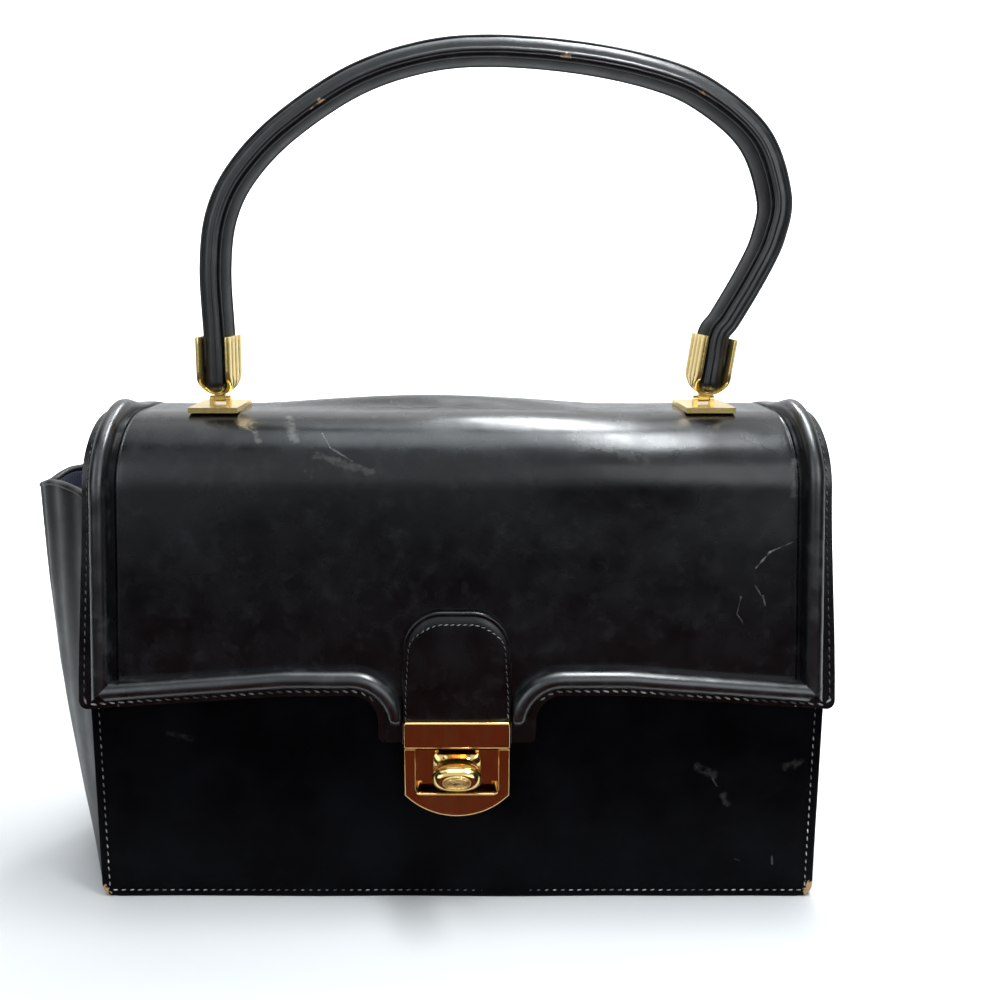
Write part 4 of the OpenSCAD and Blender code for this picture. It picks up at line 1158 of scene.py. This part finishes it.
def make_cup(side, word, gold):
    """A U strap round the handle's end, its reeds drawing together under the bend, on a knuckle."""
    middle = CUP_FLOOR + CUP_W / 2
    inner = CUP_W / 2 - CUP_T
    lean = side * CUP_LEAN
    limb = (CUP_H, CUP_H - 0.15, 21.5, 19, 16.5, 14, 11.5, 9.3)
    bend = [((inner * x, middle + inner * z), (x, z)) for x, z in arc((0, 0), 1.0, 180, 360, 32)]
    rows = [((-inner, h), (-1, 0)) for h in limb] + bend + [((inner, h), (1, 0)) for h in reversed(limb)]
    points = 8 * REEDS
    outer = []
    for k in range(points + 1):
        crest = 1 - abs(2 * (k / 8 % 1) - 1)**2.6 if 0 < k < points else -0.3
        outer.append((CUP_T + REED_H * crest, 2 * k / points - 1))
    section = [(0.0, -0.97), (0.25, -1.0)] + outer + [(0.25, 1.0), (0.0, 0.97), (0.0, 0.4), (0.0, -0.4)]

    def on_strap(point, j):
        (x, h), (way_x, way_h) = rows[j]
        depth = cup_depth(h + way_h * (CUP_T + REED_H))
        out = point[0] if 0 < j < len(rows) - 1 else 0.12 + point[0] * 0.85
        if out > CUP_T:
            out = CUP_T + (out - CUP_T) * (depth / (CUP_D / 2))**0.5
        x, h = x + way_x * out, h + way_h * out
        return Vector((CUP_X[side] + x * math.cos(lean) + h * math.sin(lean), PLATE_Y + point[1] * depth,
                       PIN_Z - x * math.sin(lean) + h * math.cos(lean)))

    strap = rolled(f"cup_{word}_strap", section, len(rows) - 1, on_strap)
    hand_over(strap, gold, "handle", f"cup_{word}", slot="gilt_brass")
    top = CUP_FLOOR + 0.7
    outline = arc((0, 0), KNUCKLE_R, 180, 360, 10) + [(KNUCKLE_R, top), (-KNUCKLE_R, top)]
    knuckle = chamfered(f"cup_{word}_knuckle", outline, KNUCKLE_W, [(0.12, 0.12)],
                        lambda spot: Vector((CUP_X[side] - KNUCKLE_W / 2 + spot.z, PLATE_Y + spot.x,
                                             PIN_Z + spot.y)))
    hand_over(knuckle, gold, "handle", slot="gilt_brass")


def dress(finish, *nodes):
    """Gives CAD nodes that stay as they are their finish."""
    for node in nodes:
        coat(bpy.data.objects[node], finish)


# Room, lamps and camera

FLOOR_FRONT = 84.0
ROOM_HALF = 1600.0
ROOM_DEPTH = 900.0
ROOM_H = 1500.0
ROOM_BEND_R = 300.0
WHITE_FROM = 320.0
WHITE_AT = 600.0
DIM_AIR = 0.018
TUBE_TURN = math.radians(14.5)
CAMERA_PLACE = (2.14, -321.3, 227.1)
CAMERA_PITCH = math.radians(83)
LENS = 30.24
SENSOR_W = 36.0
LENS_SHIFT = (0.037, -0.12)


def make_room():
    """A white floor that rises into a backdrop, which is plain white to the camera far from the bag."""
    side = (straight((-FLOOR_FRONT, 0.0), (ROOM_DEPTH, 0.0), 10)
            + arc((ROOM_DEPTH, ROOM_BEND_R), ROOM_BEND_R, 270, 360, 12)
            + [(ROOM_DEPTH + ROOM_BEND_R, ROOM_H)])
    room = laid_grid("room_floor_and_backdrop", 8, len(side) - 1,
                     lambda i, j: Vector((ROOM_HALF * (i / 4 - 1), side[j][0], side[j][1] - 0.02)))
    smooth(room, 60)
    white = Finish("room_white", Roughness=0.9, Specular_IOR_Level=0.1, Emission_Color=(1, 1, 1))
    shade = white.mix(white.noise(6, detail=1), (0.71, 0.71, 0.71), (0.74, 0.74, 0.74))
    far = white.share(white.vectors("LENGTH", white.coordinates), WHITE_FROM * UNIT, WHITE_AT * UNIT)
    glow = white.sum("MULTIPLY", white.new("LightPath").outputs["Is Camera Ray"], far)
    coat(room, white.done(Base_Color=shade, Emission_Strength=glow))


def stand(name, data, place):
    """Stands a lamp or a camera at a place in millimetres."""
    holder = bpy.data.objects.new(name, data)
    bpy.context.collection.objects.link(holder)
    holder.location = Vector(place) * UNIT
    return holder


def lamp(name, place, aim, size, power, colour=(1, 1, 1)):
    """A soft rectangular lamp at one place that looks at another."""
    light = bpy.data.lights.new(name, "AREA")
    light.shape = "RECTANGLE"
    light.size, light.size_y = size[0] * UNIT, size[1] * UNIT
    light.energy = power
    light.color = colour
    holder = stand(name, light, place)
    holder.rotation_euler = (Vector(aim) - Vector(place)).to_track_quat("-Z", "Y").to_euler()
    return holder


def make_air():
    """Dim air that looks white to the camera, and to gloss and glass behind the bag, above the horizon."""
    world = bpy.data.worlds.new("studio_air")
    bpy.context.scene.world = world
    air = Wiring(world)
    rays = air.new("LightPath").outputs
    way = air.new("SeparateXYZ", Vector=air.new("TexCoord").outputs["Generated"]).outputs
    seen = air.sum("MAXIMUM", rays["Is Glossy Ray"], rays["Is Transmission Ray"])
    behind = air.sum("MULTIPLY", air.share(way["Z"], -0.06, 0.04), air.share(way["Y"], 0.0, 0.5))
    white = air.sum("MAXIMUM", rays["Is Camera Ray"], air.sum("MULTIPLY", seen, behind))
    strength = air.new("MapRange", Value=white, To_Min=DIM_AIR, To_Max=1.0).outputs["Result"]
    air.feed_all(air.tree.nodes["Background"], Color=(1, 1, 1), Strength=strength)


def light_room():
    make_air()
    lamp("ceiling_whole", (0, 200, 1800), (0, 150, 100), (2600, 1500), 13.5, (0.93, 0.97, 1))
    lamp("ceiling_panel", (-130, -125, 1790), (-130, -125, 100), (560, 1350), 9.5, (0.86, 0.94, 1))
    tube = lamp("overhead_tube", (136, 57, 690), (136, 57, 0), (90, 700), 8.5, (0.92, 0.97, 1))
    tube.rotation_euler = (0, 0, TUBE_TURN)
    lamp("backdrop_wash", (0, 100, 1600), (0, 1200, 1520), (2400, 500), 42)
    lamp("room_in_front", (0, -1500, 1150), (0, 0, 400), (3000, 1900), 15, (0.9, 0.95, 1))
    lamp("window_right", (560, -1150, 520), (60, -40, 240), (700, 680), 3, (0.93, 0.97, 1))
    lamp("window_left", (-950, -950, 500), (-120, -40, 180), (700, 820), 3.2, (0.85, 0.93, 1))
    lamp("window_sill", (0, -1500, 95), (0, 0, 95), (1800, 190), 0.7, (0.85, 0.93, 1))
    lamp("red_cloth_below", (0, -335, -125), (0, -44, 20), (560, 330), 0.052, (1, 0.09, 0.03))


def place_camera():
    """The photograph's view: 7 degrees down, with the lens axis off the picture's middle."""
    data = bpy.data.cameras.new("camera")
    data.lens = LENS
    data.sensor_width = SENSOR_W
    data.shift_x, data.shift_y = LENS_SHIFT
    data.clip_start = 0.01
    holder = stand("camera", data, CAMERA_PLACE)
    holder.rotation_euler = (CAMERA_PITCH, 0, 0)
    bpy.context.scene.camera = holder


# The bag

def on_front(x, z):
    return x, FRONT_Y, z


def lines_on(place, *lines):
    """Scratches as (start, end, width, strength), from two numbers for each end, a width and a strength."""
    return [(place(a, b), place(c, d), width, strength) for a, b, c, d, width, strength in lines]


place_camera()
make_room()
light_room()

flap_marks = lines_on(
    on_flap, (105.1, 50.3, 110, 56.0, 0.35, 0.8), (110, 56.0, 118, 59.5, 0.3, 0.55),
    (104.8, 44.2, 107.6, 39.5, 0.25, 0.4), (107.6, 40.5, 108.4, 37.1, 0.35, 0.6),
    (99.9, 40, 98.6, 34, 0.25, 0.45), (98.6, 34, 101, 30.5, 0.3, 0.4), (-48.5, 99.3, -45, 93, 0.3, 0.6),
    (-45, 93, -36.9, 88, 0.4, 0.4), (-78.8, 103.5, -72, 99, 0.5, 0.35), (-27.2, 141, -25.2, 121, 0.4, 0.6),
    (0.5, 141, 1.2, 116, 0.35, 0.5), (-53.3, 84.8, -51, 82, 0.5, 0.4))
flap_smears = lines_on(
    on_flap, (-62, 108, -58, 96, 2.2, 0.28), (-75, 104, -71, 96, 1.6, 0.24), (-50, 90, -30, 84, 1.8, 0.16),
    (40, 96, 66, 88, 2.4, 0.10), (118, 76, 119, 88, 1.6, 0.16))
body_marks = lines_on(on_front, (92.5, 46.5, 94.5, 43.5, 0.35, 0.35), (102, 15, 104, 14, 0.35, 0.25),
                      (115.5, 16, 115.8, 13, 0.3, 0.3))
body_smears = lines_on(on_front, (87, 51, 93, 48, 1.9, 0.12), (97, 40, 98, 37, 1.7, 0.12),
                       (119, 51, 124, 53, 1.8, 0.10), (-104, 64, -96, 62, 1.2, 0.06))
# A lighter streak down the left gusset's crest: partly rubbed wear, partly a painted reflection of the
# bright floor
crest_wear_and_reflection = [((-162, -5, 134), (-157, -7, 80), 4.0, 0.32), ((-157, -7, 80), (-148.5, -9, 26), 3.0, 0.26)]
flap_calf = polished_calf("calf_flap", 0.25, 0.2, 0.45, worn=[((27, -38, 73), 1.8), ((-27, -38, 78), 1.6)],
                          marks=flap_marks, smears=flap_smears, lip=119.4)
# The welts are greyed strongly in patches: a painted sheen in place of their highlights, with some dust
welt_calf = polished_calf("calf_welts", 0.9, 0.26, 0.9)
body_calf = polished_calf("calf_body", 0.03, 0.3, 0.03, marks=body_marks, smears=body_smears, sheen_back=0.6,
                          worn=[((-131, -36.5, 1.5), 6.5), ((131, -36.5, 3.0), 7.0),
                                ((132.5, -37, 60), 3.0)])
# The left gusset is greyed in patches to lighten it: partly dust, partly a painted sheen
left_calf = polished_calf("calf_gusset_left", 0.4, 0.42, 0.35, smears=crest_wear_and_reflection,
                          worn=[((-164, -2, 146), 3.0), ((-144, -12, 2), 4.0)])
# The handle cover is greyed in patches to lighten its crown: partly dust, partly a painted sheen
handle_calf = polished_calf("calf_handle", 0.6, 0.34, 0.8, wrinkles=0.22,
                            worn=[((-48, -12.7, 288.4), 3.8), ((-51.5, -12.7, 285.8), 2.6),
                                  ((38.5, -12.7, 303.6), 4.2), ((87, -12.7, 290.8), 3.6)])
inner_calf = polished_calf("calf_handle_inside", 0.3, 0.5, 0.1, sheen_back=0.4)
# The piping is greyed very strongly in patches: painted glints along it, with some scuffing
piping_calf = polished_calf("calf_piping", 1.2, 0.3, 0.6, wrinkles=0.14)
knob_gilt = gilt("gilt_knob", (0.82, 0.59, 0.23), 0.12)
lock_gilt = gilt("gilt_lock_plate", (0.78, 0.50, 0.20), 0.1, 0.5)
stippled_gilt = gilt("gilt_stippled", (0.90, 0.66, 0.26), 0.3, stipple=0.9)
pale_gilt = gilt("gilt_pale", (0.76, 0.57, 0.21), 0.2, 0.2, 0.85)
binding = worn_binding()
lining = woven_lining()
# Black thread whose light shade is a painted glint
black_thread_painted_glints = waxed_thread("thread_black_painted_glints", (0.62, 0.61, 0.58), (0.022, 0.022, 0.024))
dark_thread = waxed_thread("thread_dark", (0.16, 0.16, 0.16), (0.016, 0.016, 0.018))

make_flap(flap_calf, welt_calf, lining, black_thread_painted_glints, dark_thread)
make_tab(flap_calf, black_thread_painted_glints)
make_body(body_calf, lining, black_thread_painted_glints)
make_gussets({"left": left_calf, "right": body_calf}, lining, binding)
make_pocket(lining)
make_handle(handle_calf, inner_calf, piping_calf)
make_lock(lock_gilt, knob_gilt, stippled_gilt)
make_cup(0, "left", pale_gilt)
make_cup(1, "right", pale_gilt)
dress(lock_gilt, "lock_backplate", "slide_plate")
dress(knob_gilt, "knob_stem", "catch_tongue", "bar_rivets", "lock_rivets")
dress(pale_gilt, "handle_plate_left", "handle_plate_right", "plate_studs", "neck_pins")
dress(drawn_steel(), "plate_washers", "latch_spring")
dress(pressed_board(), "front_board", "back_board", "base_board", "flap_board")
dress(packed_filler(), "handle_core")

bpy.context.scene.view_settings.view_transform = "Standard"
